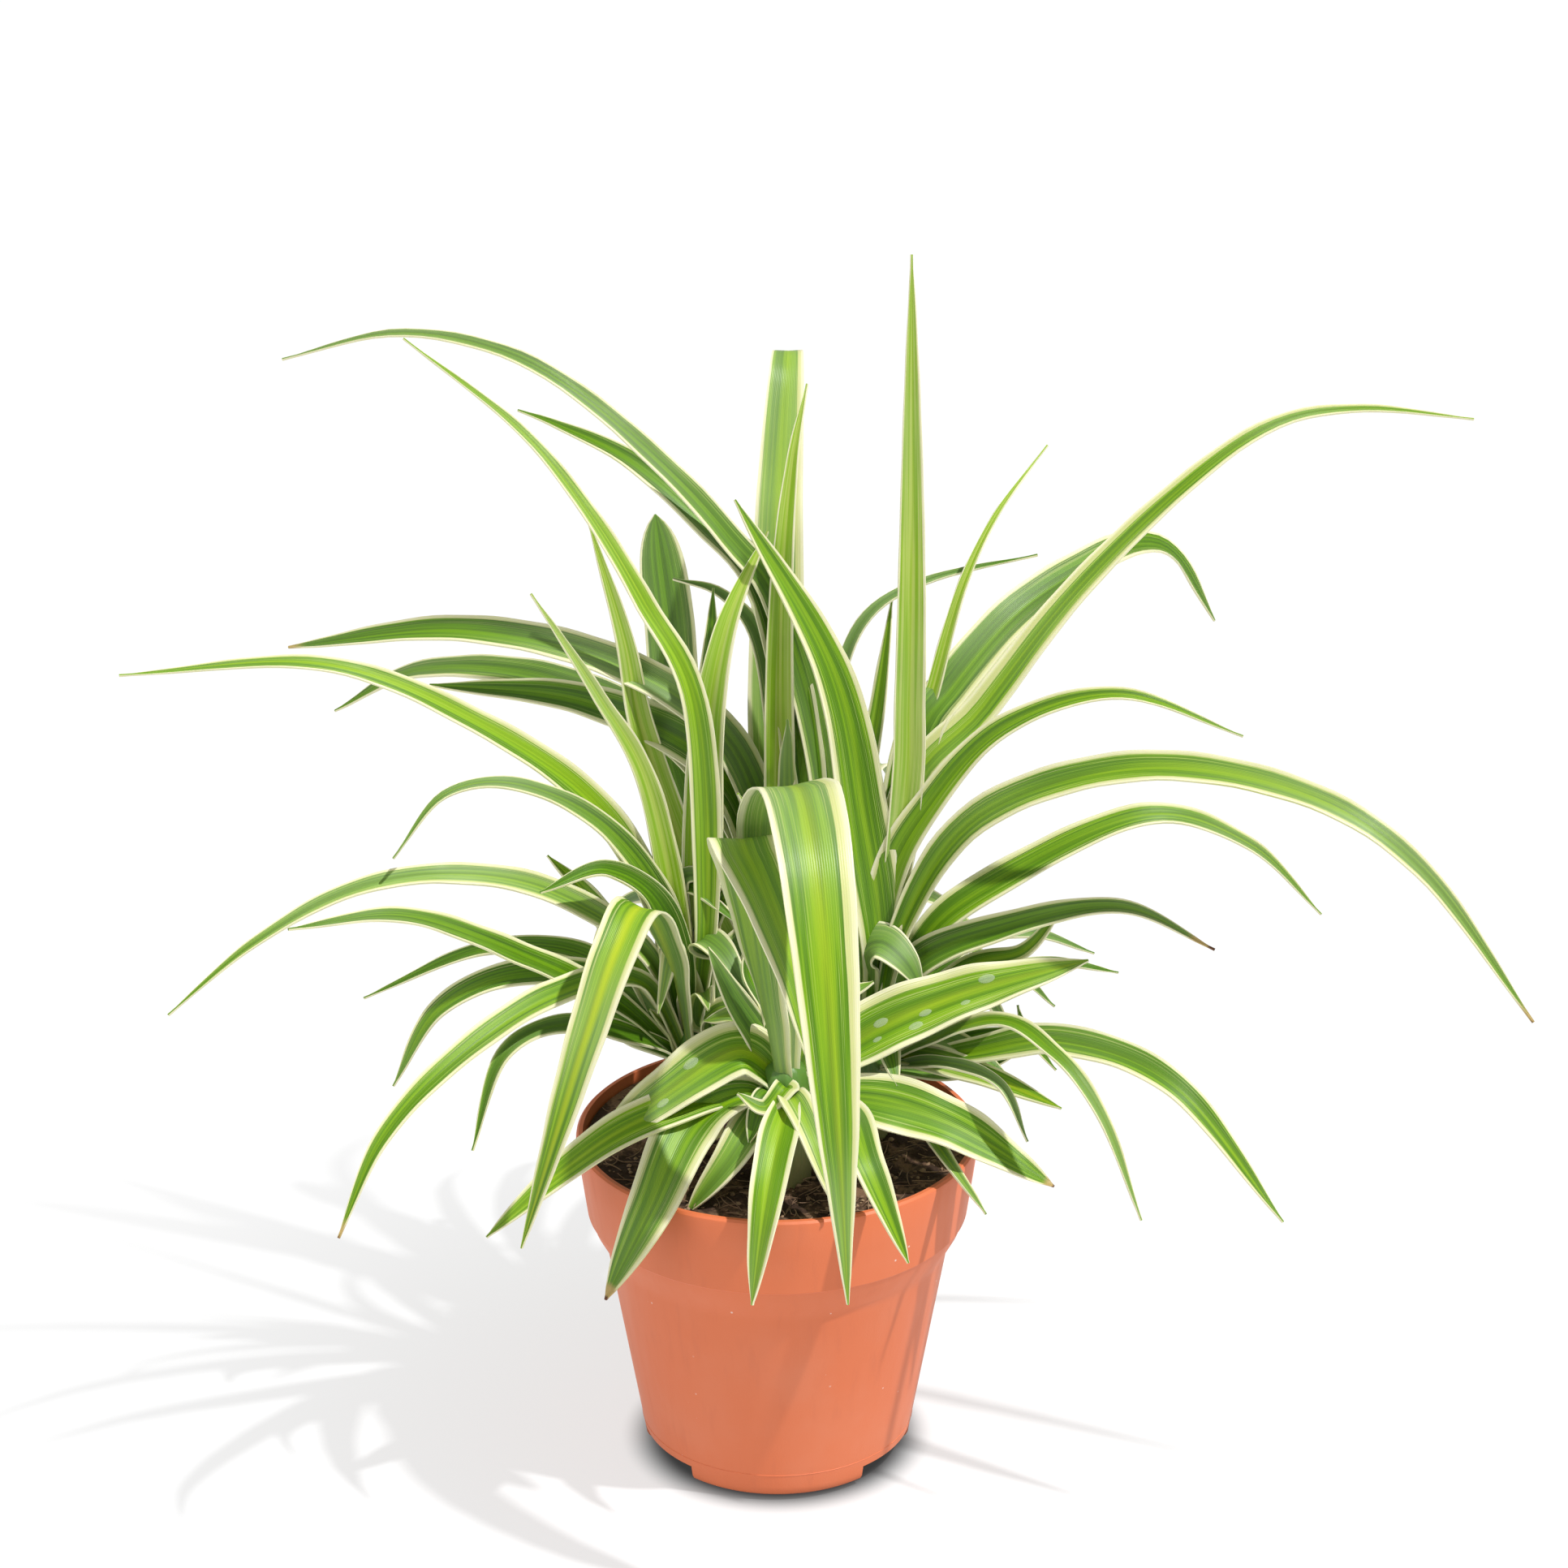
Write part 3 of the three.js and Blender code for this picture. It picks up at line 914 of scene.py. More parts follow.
    def build(self, finish: PotFinish) -> None:
        """Builds and dresses the pot.

        Args:
            finish: its plastic.
        """
        pot = turned("nursery_pot", self.outline(), self.segments)
        for index in range(self.slots):
            cutter = self.slot_cutter(index)
            apply_modifier(pot, "BOOLEAN", operation="DIFFERENCE", object=cutter, solver="EXACT")
            discard(cutter)
        select_only(pot)
        bpy.ops.object.mode_set(mode="EDIT")
        bpy.ops.mesh.select_all(action="SELECT")
        bpy.ops.mesh.remove_doubles(threshold=self.weld * MM)
        bpy.ops.object.mode_set(mode="OBJECT")
        smooth(pot, self.smooth_angle)
        pot.data.materials.append(finish.material())
        finish_piece(pot, "pot_plastic", "pot")


# ---------------------------------------------------------------- soil
@dataclass
class Soil:
    """Lumpy peat in the pot, with crumbs and fibres on its surface.

    Rates count per millimetre, and a spread gives the least and the greatest of a draw.
    """

    edge: float = 101.2
    crown: float = 100.6
    lump: float = 1.2
    wave_rates: tuple[float, ...] = (0.23, 0.27, 0.51, 0.43)
    wave_starts: Span = (1.1, 2.0)
    clod: float = 1.5
    coarse_rate: float = 0.16
    fine_rate: float = 0.55
    grit_rate: float = 1.4
    clod_shares: Triple = (0.8, 0.55, 0.3)  # coarse, fine and grit
    flat_edge: int = 6  # the higher, the narrower the flat edge
    clearance: float = 0.3
    collar_reach: float = 1.5  # how much the flared collar widens up to the surface
    ring_rise: float = 1.0
    rings: int = 70
    segments: int = 160
    seed: int = 11

    litter_inset: float = 2.5
    litter_crowding: float = 0.42  # below 0.5, so that more lies near the rim
    fibres: int = 460
    fibre_length: float = 10.0
    fibre_radius: float = 0.13
    fibre_cuts: tuple[float, ...] = (-0.3, -0.1, 0.1, 0.3)
    length_spread: Span = (0.35, 1.0)
    radius_spread: Span = (0.5, 1.5)
    bow: float = 0.35
    lift_spread: Span = (-0.2, 1.6)
    slope: float = 1.2
    rim_gap: float = 1.0
    crumbs: int = 420
    crumb_radius: float = 0.8
    size_spread: Span = (0.4, 1.25)
    rough_spread: Span = (0.6, 1.2)
    crumb_flatness: float = 0.7
    crumb_lift: float = 0.2
    smooth_angle: float = 60.0

    def surface_radius(self, pot: Pot) -> float:
        """Radius of the soil's surface in a pot."""
        return pot.collar_radius - pot.wall - self.clearance + self.collar_reach

    def height_at(self, pot: Pot, x: float, y: float) -> float:
        """Height of the soil's surface.

        Args:
            pot: the pot that it fills.
            x: place across, from the pot's axis.
            y: place in depth, from the pot's axis.

        Returns:
            The height above the pot's underside.
        """
        share = min(math.hypot(x, y) / self.surface_radius(pot), 1.0)
        mound = self.edge + (self.crown - self.edge) * (1 - share * share)
        first, second, third, fourth = self.wave_rates
        early, late = self.wave_starts
        lumps = math.sin(x * first + early) * math.cos(y * second)
        lumps += math.sin(x * third - y * fourth + late)
        coarse = noise.noise(Vector((x, y, 0.0)) * self.coarse_rate)
        fine = noise.noise(Vector((x, y, 7.0)) * self.fine_rate)
        grit = noise.noise(Vector((x, y, 3.0)) * self.grit_rate)
        coarse_share, fine_share, grit_share = self.clod_shares
        clods = coarse_share * abs(coarse) + fine_share * fine + grit_share * grit
        relief = 0.5 * self.lump * lumps + self.clod * clods
        return mound + relief * (1 - share**self.flat_edge)

    def outline(self, pot: Pot) -> Outline:
        """Lays out the soil's outline.

        Args:
            pot: the pot that it fills.

        Returns:
            Radius and height of each ring, from the pot's floor up and over to its middle.
        """
        inset = pot.wall + self.clearance
        surface = self.surface_radius(pot)
        outline = [
            (pot.foot_radius, pot.floor + self.clearance),
            (pot.inner_foot_radius() - self.clearance, pot.foot_height + self.clearance),
            (pot.wall_top_radius - inset, pot.wall_top_height),
            (pot.collar_radius - pot.curve_inset - inset, pot.ridge_height - pot.curve_drop),
            (pot.collar_radius - inset, pot.ridge_height + 2 * pot.ridge),
            (surface, self.edge),
        ]
        step = surface / (self.rings + 1)
        raised = self.edge + self.ring_rise
        return outline + [(surface - step * ring, raised) for ring in range(1, self.rings + 1)]

    def build(self, pot: Pot, finish: SoilFinish) -> None:
        """Builds and dresses the soil and the litter on it.

        Args:
            pot: the pot that it fills.
            finish: its colours.
        """
        soil = turned("potting_soil", self.outline(pot), self.segments)
        points = points_of(soil)
        for point in points:
            if point[2] > (self.edge + self.ring_rise / 2) * MM:
                point[2] = self.height_at(pot, point[0] / MM, point[1] / MM) * MM
        move_points(soil, points)
        smooth(soil, self.smooth_angle)
        soil.data.materials.append(finish.material())
        finish_piece(soil, "soil", "soil")
        litter = joined("soil_litter", self.make_fibres(pot) + self.make_crumbs(pot))
        smooth(litter, self.smooth_angle)
        litter.data.materials.append(finish.fibre_material())
        finish_piece(litter, "soil")

    def scatter(self, draw: random.Random, pot: Pot) -> Point:
        """Draws a place on the soil's surface, more often near the rim.

        Args:
            draw: the seeded source of numbers.
            pot: the pot that the soil fills.

        Returns:
            The place across and in depth.
        """
        reach = self.surface_radius(pot) - self.litter_inset
        radius = reach * draw.random() ** self.litter_crowding
        angle = draw.uniform(0, math.tau)
        return radius * math.cos(angle), radius * math.sin(angle)

    def make_fibres(self, pot: Pot) -> list[bpy.types.Object]:
        """Makes the curved fibres that lie in the surface.

        Args:
            pot: the pot that the soil fills.

        Returns:
            One object for each fibre.
        """
        draw = random.Random(self.seed)
        select_only()
        bpy.ops.mesh.primitive_cylinder_add(vertices=5, radius=1.0, depth=1.0)
        first = named("fibre")
        bpy.ops.object.mode_set(mode="EDIT")
        for height in self.fibre_cuts:
            bpy.ops.mesh.select_all(action="SELECT")
            bpy.ops.mesh.bisect(plane_co=(0, 0, height), plane_no=(0, 0, 1))
        bpy.ops.object.mode_set(mode="OBJECT")
        template = points_of(first)
        made = []
        for index in range(self.fibres):
            x, y = self.scatter(draw, pot)
            length = self.fibre_length * draw.uniform(*self.length_spread)
            radius = self.fibre_radius * draw.uniform(*self.radius_spread)
            heading = draw.uniform(0, math.tau)
            bow = draw.uniform(-self.bow, self.bow) * length
            lift = draw.uniform(*self.lift_spread)
            place = template[:, 2]
            run, bend = place * length, bow * (0.25 - place**2) * 2
            points = np.empty_like(template)
            points[:, 0] = x + run * math.cos(heading) - bend * math.sin(heading)
            points[:, 1] = y + run * math.sin(heading) + bend * math.cos(heading)
            points[:, 0] -= template[:, 0] * radius * math.sin(heading)
            points[:, 1] += template[:, 0] * radius * math.cos(heading)
            reach = np.hypot(points[:, 0], points[:, 1])
            limit = self.surface_radius(pot) - self.rim_gap
            points[:, :2] *= (np.minimum(reach, limit) / reach)[:, None]
            base = self.height_at(pot, x, y) + lift
            slope = self.slope * draw.uniform(-1, 1)
            points[:, 2] = base + template[:, 1] * radius + slope * np.abs(place)
            fibre = first if index == 0 else copied(first, f"fibre_{index}")
            move_points(fibre, points * MM)
            made.append(fibre)
        return made

    def make_crumbs(self, pot: Pot) -> list[bpy.types.Object]:
        """Makes the loose crumbs of peat.

        Args:
            pot: the pot that the soil fills.

        Returns:
            One object for each crumb.
        """
        draw = random.Random(self.seed + 1)
        select_only()
        bpy.ops.mesh.primitive_ico_sphere_add(subdivisions=1, radius=1.0)
        first = named("crumb")
        template = points_of(first)
        made = []
        for index in range(self.crumbs):
            x, y = self.scatter(draw, pot)
            size = self.crumb_radius * draw.uniform(*self.size_spread)
            turn = Euler([draw.uniform(0, math.tau) for _ in range(3)]).to_matrix()
            rough = np.array([[draw.uniform(*self.rough_spread)] for _ in template])
            points = (template * rough) @ np.array(turn) * size * (1, 1, self.crumb_flatness)
            crumb = first if index == 0 else copied(first, f"crumb_{index}")
            height = self.height_at(pot, x, y) + self.crumb_lift * size
            move_points(crumb, (points + (x, y, height)) * MM)
            made.append(crumb)
        return made


# ---------------------------------------------------------------- leaves
@dataclass(frozen=True)
class Stripes:
    """How one leaf is coloured, each from 0 to 1."""

    margin: float  # share of each half that is cream
    middle: float  # strength of the yellow-green middle stripe
    tone: float  # from deep green to bright green


class Look(Enum):
    """The colourings that the leaves have."""

    GREEN = Stripes(0.26, 0.1, 0.45)
    VIVID = Stripes(0.24, 0.2, 0.6)
    LUSH = Stripes(0.26, 0.12, 0.55)
    BANDED = Stripes(0.28, 0.4, 0.48)
    STRIPED = Stripes(0.26, 0.85, 0.5)
    DARK = Stripes(0.2, 0.05, 0.32)
    DUSKY = Stripes(0.12, 0.0, 0.3)
    # PALE: pale yellow-green leaves, partly their own colour and partly painted glow of light
    # shining through them from behind.
    PALE = Stripes(0.14, 0.2, 0.85)
    CREAMY = Stripes(0.42, 0.15, 0.48)
    CREAM = Stripes(0.66, 0.1, 0.65)


# How a leaf narrows to its tip: the higher, the blunter.
SLIM = 1.2
FINE = 1.7
TAPER = 3.0
BLUNT = 5.0
ROUND = 22.0

Station = tuple[float, ...]


@dataclass(frozen=True)
class Leaf:
    """One leaf, by its heading round the upright axis and the places that its midrib passes."""

    heading: float  # degrees round +Z from +X
    width: float
    stations: tuple[Station, ...]  # (out, up) or (out, up, side) from the crown, the tip last
    look: Look = Look.GREEN
    taper: float = TAPER  # low for a long fine point
    dried: float = 0.0  # share of the length that is a brown tip
    wave: float = 0.25  # height of the ripple along the margins
    fold: float = 1.0  # how far it is folded up from its midrib, 0 for a flat one


@dataclass(frozen=True)
class BladeForm:
    """What all blades share: folded up from the midrib, narrow at the root, widest further on.

    Shares count along the leaf from its root. Folds and the lean are in degrees.
    """

    soil_line: float = 98.0
    thickness: float = 0.6
    tip_width: float = 0.5
    root_share: float = 0.38
    widest_at: float = 0.38
    point_power: float = 0.88
    root_fold: float = 42.0
    mid_fold: float = 17.0
    fold_softness: float = 0.09
    root: Station = (2.0, 24.0)
    lean: float = 45.0
    wave_length: float = 21.0
    wave_offset: float = 1.3
    wave_ends: float = 0.6
    length_steps: int = 64
    width_steps: int = 14
    fine_steps: int = 400

    def midrib(self, leaf: Leaf, crown: Point) -> np.ndarray:
        """Runs a smooth curve through a leaf's stations.

        Args:
            leaf: the leaf.
            crown: its crown's place, across and in depth.

        Returns:
            Many points along the curve, from inside the stem to the tip.
        """
        turn = math.radians(leaf.heading)
        knots = []
        for out, up, *rest in (self.root, *leaf.stations):
            side = rest[0] if rest else 0.0
            x = crown[0] + out * math.cos(turn) - side * math.sin(turn)
            y = crown[1] + out * math.sin(turn) + side * math.cos(turn)
            knots.append((x, y, self.soil_line + up))
        ends = np.array(knots)
        padded = np.vstack((2 * ends[0] - ends[1], ends, 2 * ends[-1] - ends[-2]))
        place = np.linspace(0, len(knots) - 1, self.fine_steps)
        index = np.minimum(place.astype(int), len(knots) - 2)
        share = (place - index)[:, None]
        before, start, end, after = (padded[index + shift] for shift in range(4))
        leaving, arriving = (end - before) / 2, (after - start) / 2
        square = 3 * (end - start) - 2 * leaving - arriving
        cube = 2 * (start - end) + leaving + arriving
        return start + leaving * share + square * share**2 + cube * share**3

    def surface(
        self, leaf: Leaf, crown: Point, shares: np.ndarray, sides: np.ndarray
    ) -> np.ndarray:
        """Places points on a leaf's face.

        Args:
            leaf: the leaf.
            crown: its crown's place.
            shares: each point's share of the leaf's length.
            sides: each point's place across, from -1 to 1 with the midrib at 0.

        Returns:
            One row of x, y and z for each point.
        """
        curve = self.midrib(leaf, crown)
        walked = np.concatenate(([0], np.cumsum(np.linalg.norm(np.diff(curve, axis=0), axis=1))))
        want = shares * walked[-1]
        slopes = np.gradient(curve, walked, axis=0)
        centre, along = (
            np.stack([np.interp(want, walked, line[:, axis]) for axis in range(3)], axis=1)
            for line in (curve, slopes)
        )
        along /= np.linalg.norm(along, axis=1)[:, None]
        tilt = math.radians(self.lean * abs(math.cos(math.radians(leaf.heading))))
        facing = np.array((0.0, -math.sin(tilt), math.cos(tilt)))
        normal = facing - (along @ facing)[:, None] * along
        normal /= np.linalg.norm(normal, axis=1)[:, None]
        across = np.cross(along, normal)

        opened = np.clip(shares / self.widest_at, 0, 1)
        opened = opened * opened * (3 - 2 * opened)
        body = self.root_share + (1 - self.root_share) * opened
        half = leaf.width * body * (1 - shares**leaf.taper) ** self.point_power
        half = np.maximum(half, self.tip_width) / 2
        fold = np.radians(self.root_fold + (self.mid_fold * leaf.fold - self.root_fold) * opened)
        soft = self.fold_softness
        raised = (np.sqrt(sides**2 + soft**2) - soft) / (math.sqrt(1 + soft**2) - soft)
        phase = self.wave_offset * np.sign(sides) + leaf.heading
        ripple = np.sin(want * math.tau / self.wave_length + phase)
        ripple *= leaf.wave * np.abs(sides) ** 2 * np.sin(math.pi * shares) ** self.wave_ends
        lift = raised * half * np.sin(fold) + ripple
        return centre + across * (sides * half * np.cos(fold))[:, None] + normal * lift[:, None]

    def length(self, leaf: Leaf, crown: Point) -> float:
        """Length of a leaf's midrib."""
        return float(np.linalg.norm(np.diff(self.midrib(leaf, crown), axis=0), axis=1).sum())


@dataclass
class StemForm:
    """The short stem of sheathed leaf bases that a crown's leaves grow from."""

    radius: float = 8.0
    bulge: float = 9.0
    bury: float = 9.0
    bevel: float = 1.5
    height: float = 40.0
    foot_share: float = 0.1
    body: tuple[Point, ...] = ((1.0, 0.25), (0.98, 0.4), (0.95, 0.55))  # of bulge and height
    neck: tuple[Point, ...] = ((1.0, 0.7), (0.9, 0.85), (0.8, 0.95), (0.4, 1.0))
    sheaths: int = 5
    twist: float = 0.12  # radians per millimetre
    flute: float = 0.07
    segments: int = 60

    def build(self, name: str, crown: Point, soil_line: float) -> bpy.types.Object:
        """Builds one crown's stem.

        Args:
            name: the object's name.
            crown: its place, across and in depth.
            soil_line: the height that the stem's sizes count from.

        Returns:
            The stem.
        """
        outline = [
            (self.radius - self.bevel, -self.bury),
            (self.radius, self.bevel - self.bury),
            (self.radius, self.height * self.foot_share),
            *((self.bulge * out, self.height * up) for out, up in self.body),
            *((self.radius * out, self.height * up) for out, up in self.neck),
        ]
        stem = turned(name, outline, self.segments)
        points = points_of(stem) / MM
        angle = np.arctan2(points[:, 1], points[:, 0])
        turn = angle * self.sheaths + points[:, 2] * self.twist
        points[:, :2] *= (1 - self.flute * np.abs(np.sin(turn)))[:, None]
        points += (crown[0], crown[1], soil_line)
        move_points(stem, points * MM)
        return stem


@dataclass
class Crown:
    """One plant of the clump: a stem with its leaves."""

    name: str
    place: Point
    leaves: tuple[Leaf, ...]
    seed: int
    blade: BladeForm = field(default_factory=BladeForm)
    stem: StemForm = field(default_factory=StemForm)
    streak_spread: float = 90.0
    smooth_angle: float = 50.0

    def blank(self) -> bpy.types.Object:
        """Makes the flat strip that each leaf is bent from.

        Returns:
            The strip, with room for the notes on its colouring.
        """
        select_only()
        bpy.ops.mesh.primitive_grid_add(
            x_subdivisions=self.blade.length_steps, y_subdivisions=self.blade.width_steps, size=1
        )
        strip = named("blade")
        for name in ("stripes", "extent"):
            strip.data.attributes.new(name, "FLOAT_VECTOR", "POINT")
        return strip

    def bend(self, strip: bpy.types.Object, leaf: Leaf, seed: float) -> None:
        """Bends a flat strip into a leaf and notes its colouring.

        Args:
            strip: a copy of the blank.
            leaf: the leaf that it becomes.
            seed: what sets its streaks apart from its neighbours'.
        """
        flat = points_of(strip)
        shares, sides = np.clip(flat[:, 0] + 0.5, 0, 1), -2 * flat[:, 1]
        move_points(strip, self.blade.surface(leaf, self.place, shares, sides) * MM)
        length = self.blade.length(leaf, self.place) * MM
        stripes = (leaf.look.value.margin, leaf.look.value.middle, leaf.look.value.tone)
        for name, value in (("stripes", stripes), ("extent", (leaf.dried, seed, length))):
            data = strip.data.attributes[name].data
            data.foreach_set("vector", np.tile(np.float32(value), len(data)))

    def build(self, skins: list[bpy.types.Material], sheath: bpy.types.Material) -> None:
        """Builds and dresses the crown.

        Args:
            skins: the leaf's face and its back.
            sheath: the stem's finish.
        """
        first = self.blank()
        for skin in skins:
            first.data.materials.append(skin)
        draw = random.Random(self.seed)
        strips = [first] + [copied(first, f"blade_{i}") for i in range(1, len(self.leaves))]
        for strip, leaf in zip(strips, self.leaves):
            self.bend(strip, leaf, draw.uniform(0, self.streak_spread))
        foliage = joined(f"foliage_{self.name}", strips)
        apply_modifier(
            foliage,
            "SOLIDIFY",
            thickness=self.blade.thickness * MM,
            offset=-1,
            material_offset=1,
            material_offset_rim=0,
        )
        stem = self.stem.build(f"stem_{self.name}", self.place, self.blade.soil_line)
        stem.data.materials.append(sheath)
        foliage = joined(foliage.name, [foliage, stem])
        smooth(foliage, self.smooth_angle)
        finish_piece(foliage, "leaf", f"leaves_{self.name}")


LEFT = (
    Leaf(189, 11.5, ((9, 70), (27, 108), (60, 136), (104, 157), (161, 157)), Look.LUSH, FINE),
    Leaf(
        150,
        12,
        ((-4, 75), (-1, 138), (16, 167), (35, 192), (58, 213), (97, 234)),
        Look.VIVID,
        SLIM,
    ),
    Leaf(194, 10, ((4, 60), (13, 114), (28, 145), (46, 176)), Look.PALE, FINE),
    Leaf(203, 12, ((8, 72), (26, 104), (52, 122), (75, 123), (91, 106)), Look.DARK, SLIM),
    Leaf(
        200,
        10,
        ((14, 62), (43, 87), (74, 97), (103, 96), (131, 84), (156, 66)),
        Look.GREEN,
        FINE,
    ),
    Leaf(214, 9.5, ((27, 52), (57, 74), (95, 96), (131, 101)), Look.DARK),
    Leaf(174, 8.5, ((28, 57), (62, 60), (100, 42)), Look.DARK, FINE),
    Leaf(188, 10, ((23, 52), (52, 58), (76, 48), (90, 24)), Look.DARK),
    Leaf(222, 10, ((15, 36), (48, 53), (72, 51), (84, 25)), Look.DARK, FINE),
    Leaf(222, 10, ((21, 58), (54, 64), (89, 55), (115, 39), (131, 14)), Look.GREEN, dried=0.02),
    Leaf(176, 11, ((16, 55), (32, 79), (43, 91)), Look.VIVID, wave=0.8),
    Leaf(216, 11, ((10, 74), (30, 95), (53, 94)), Look.DUSKY),
    Leaf(
        -112,
        15.5,
        ((18, 66), (38, 91), (56, 85), (70, 64, -3), (80, 38, -8), (86, 3, -17)),
        Look.STRIPED,
        fold=0.5,
    ),
    Leaf(50, 13, ((3, 60), (5, 120), (14, 157), (33, 183)), Look.PALE),
    Leaf(-140, 7, ((4, 28), (9, 38), (17, 48)), Look.CREAM),
    Leaf(-50, 12, ((0, 62), (12, 66), (28, 52)), Look.DARK, wave=0.8),
    Leaf(-20, 8, ((-9, 62), (-3, 82), (15, 72)), Look.DUSKY, wave=0.8),
    Leaf(-10, 9, ((-5, 78), (3, 86), (13, 80)), Look.DUSKY, wave=0.8),
    Leaf(-120, 9, ((4, 50), (12, 68), (21, 50)), Look.CREAMY, wave=0.6),
    Leaf(150, 11, ((20, 30), (34, 34), (46, 16)), Look.DARK),
)
RIGHT = (
    Leaf(
        21,
        14.5,
        ((11, 105), (36, 133), (63, 164), (96, 192), (126, 209), (156, 211), (194, 204)),
        Look.CREAMY,
        SLIM,
    ),
    Leaf(
        40,
        14,
        ((9, 75), (19, 122), (33, 137), (58, 154), (87, 163), (107, 165), (124, 158), (143, 133)),
        Look.DARK,
        BLUNT,
    ),
    Leaf(-8, 14.5, ((5, 80), (19, 111), (40, 135), (72, 146), (107, 135)), Look.GREEN, SLIM),
    Leaf(
        -20,
        11.5,
        ((11, 71), (34, 109), (79, 130), (126, 129), (161, 111), (195, 70)),
        Look.GREEN,
        dried=0.012,
    ),
    Leaf(12, 12.5, ((16, 62), (40, 81), (84, 98), (117, 86), (141, 61)), Look.GREEN, FINE),
    Leaf(-16, 15, ((13, 57), (40, 74), (75, 85), (103, 75)), Look.DARK, SLIM, dried=0.05),
    Leaf(
        46,
        8.5,
        ((8, 70), (20, 115), (29, 139), (40, 165), (55, 184), (77, 200)),
        Look.PALE,
        SLIM,
    ),
    Leaf(0, 10, ((11, 106), (12, 141), (12, 192), (11, 269.9)), Look.PALE),
    Leaf(-14, 8, ((28, 58), (47, 67), (59, 84)), Look.CREAMY, dried=0.03),
    Leaf(-32, 11.5, ((34, 37), (66, 49), (102, 44), (137, 11)), Look.GREEN),
    Leaf(-44, 6, ((48, 55), (73, 53), (91, 39), (106, 12)), Look.GREEN),
    Leaf(-38, 10, ((16, 32), (42, 34), (70, 32)), Look.STRIPED),
    Leaf(152, 16.5, ((-5, 60), (1, 103), (12, 148), (43, 194)), Look.GREEN),
    Leaf(20, 5.5, ((29, 57), (52, 60), (74, 50)), Look.DUSKY),
    Leaf(10, 5.5, ((30, 48), (55, 54), (77, 49)), Look.DUSKY),
    Leaf(-2, 5.5, ((25, 46), (44, 54), (56, 45)), Look.DUSKY),
    Leaf(-26, 9, ((14, 38), (32, 38), (46, 31)), Look.DARK),
    Leaf(-48, 5.5, ((32, 37), (56, 39), (68, 25)), Look.DARK),
    Leaf(-60, 5.5, ((20, 24), (44, 15), (67, 6)), Look.GREEN),
    Leaf(-20, 6, ((31, 38), (48, 42), (59, 33)), Look.DARK),
    Leaf(-5, 6, ((28, 24), (46, 34), (45, 46)), Look.DARK),
    Leaf(
        -30,
        15,
        ((-2, 46, -3), (0, 62, -4), (7, 68, -4), (15, 64, -4), (21, 56, -4)),
        Look.DUSKY,
        BLUNT,
        fold=0.4,
    ),
    Leaf(40, 11, ((22, 30), (44, 36), (60, 18)), Look.DARK),
)
FRONT = (
    Leaf(199, 13, ((20, 31), (45, 27), (66, 16), (90, -2)), Look.VIVID),
    Leaf(196, 18.5, ((2, 34), (14, 45), (36, 34), (60, 17)), Look.BANDED, wave=0.7, fold=0.6),
    Leaf(-150, 19, ((14, 32), (30, 25, -2), (50, 8, 10), (62, -19, 5)), Look.GREEN, dried=0.05),
    Leaf(-138, 12, ((8, 28), (24, 17, 3), (36, 2, -2)), Look.GREEN),
    Leaf(-95, 12.5, ((12, 32, 2), (30, 25), (42, 11, -2), (48, -14, -5)), Look.VIVID, wave=0.4),
    Leaf(
        -86,
        24,
        ((16, 118, -3), (34, 138, 1), (58, 135, 3), (76, 113, 5), (88, 64, 8), (91, 10, 11)),
        Look.BANDED,
        fold=0.25,
    ),
    Leaf(
        -94,
        20,
        ((18, 109, -10), (34, 117, -7), (46, 105, 1), (54, 87, 8), (58, 65, 12)),
        Look.LUSH,
        BLUNT,
        fold=0.3,
    ),
    Leaf(-62, 12, ((20, 30, 9), (40, 22, 6), (56, -2, 10)), Look.GREEN),
    Leaf(-70, 10, ((12, 34, -2), (26, 28, -1), (40, 12, 1)), Look.CREAMY),
    Leaf(-140, 8, ((6, 36, 8), (14, 32, 8), (19, 36, 2)), Look.CREAMY),
    Leaf(8, 20, ((20, 44), (50, 57), (89, 66)), Look.BANDED, wave=0.8, fold=0.7),
    Leaf(-14, 18.5, ((22, 30), (50, 25), (80, 9)), Look.GREEN, dried=0.03, wave=0.8, fold=0.7),
    Leaf(100, 7, ((4, 39), (9, 50), (13, 61)), Look.CREAMY),
    Leaf(120, 9, ((5, 50), (12, 64, 4), (14, 79)), Look.DUSKY),
    Leaf(95, 11, ((3, 40), (10, 58), (18, 72)), Look.VIVID),
)
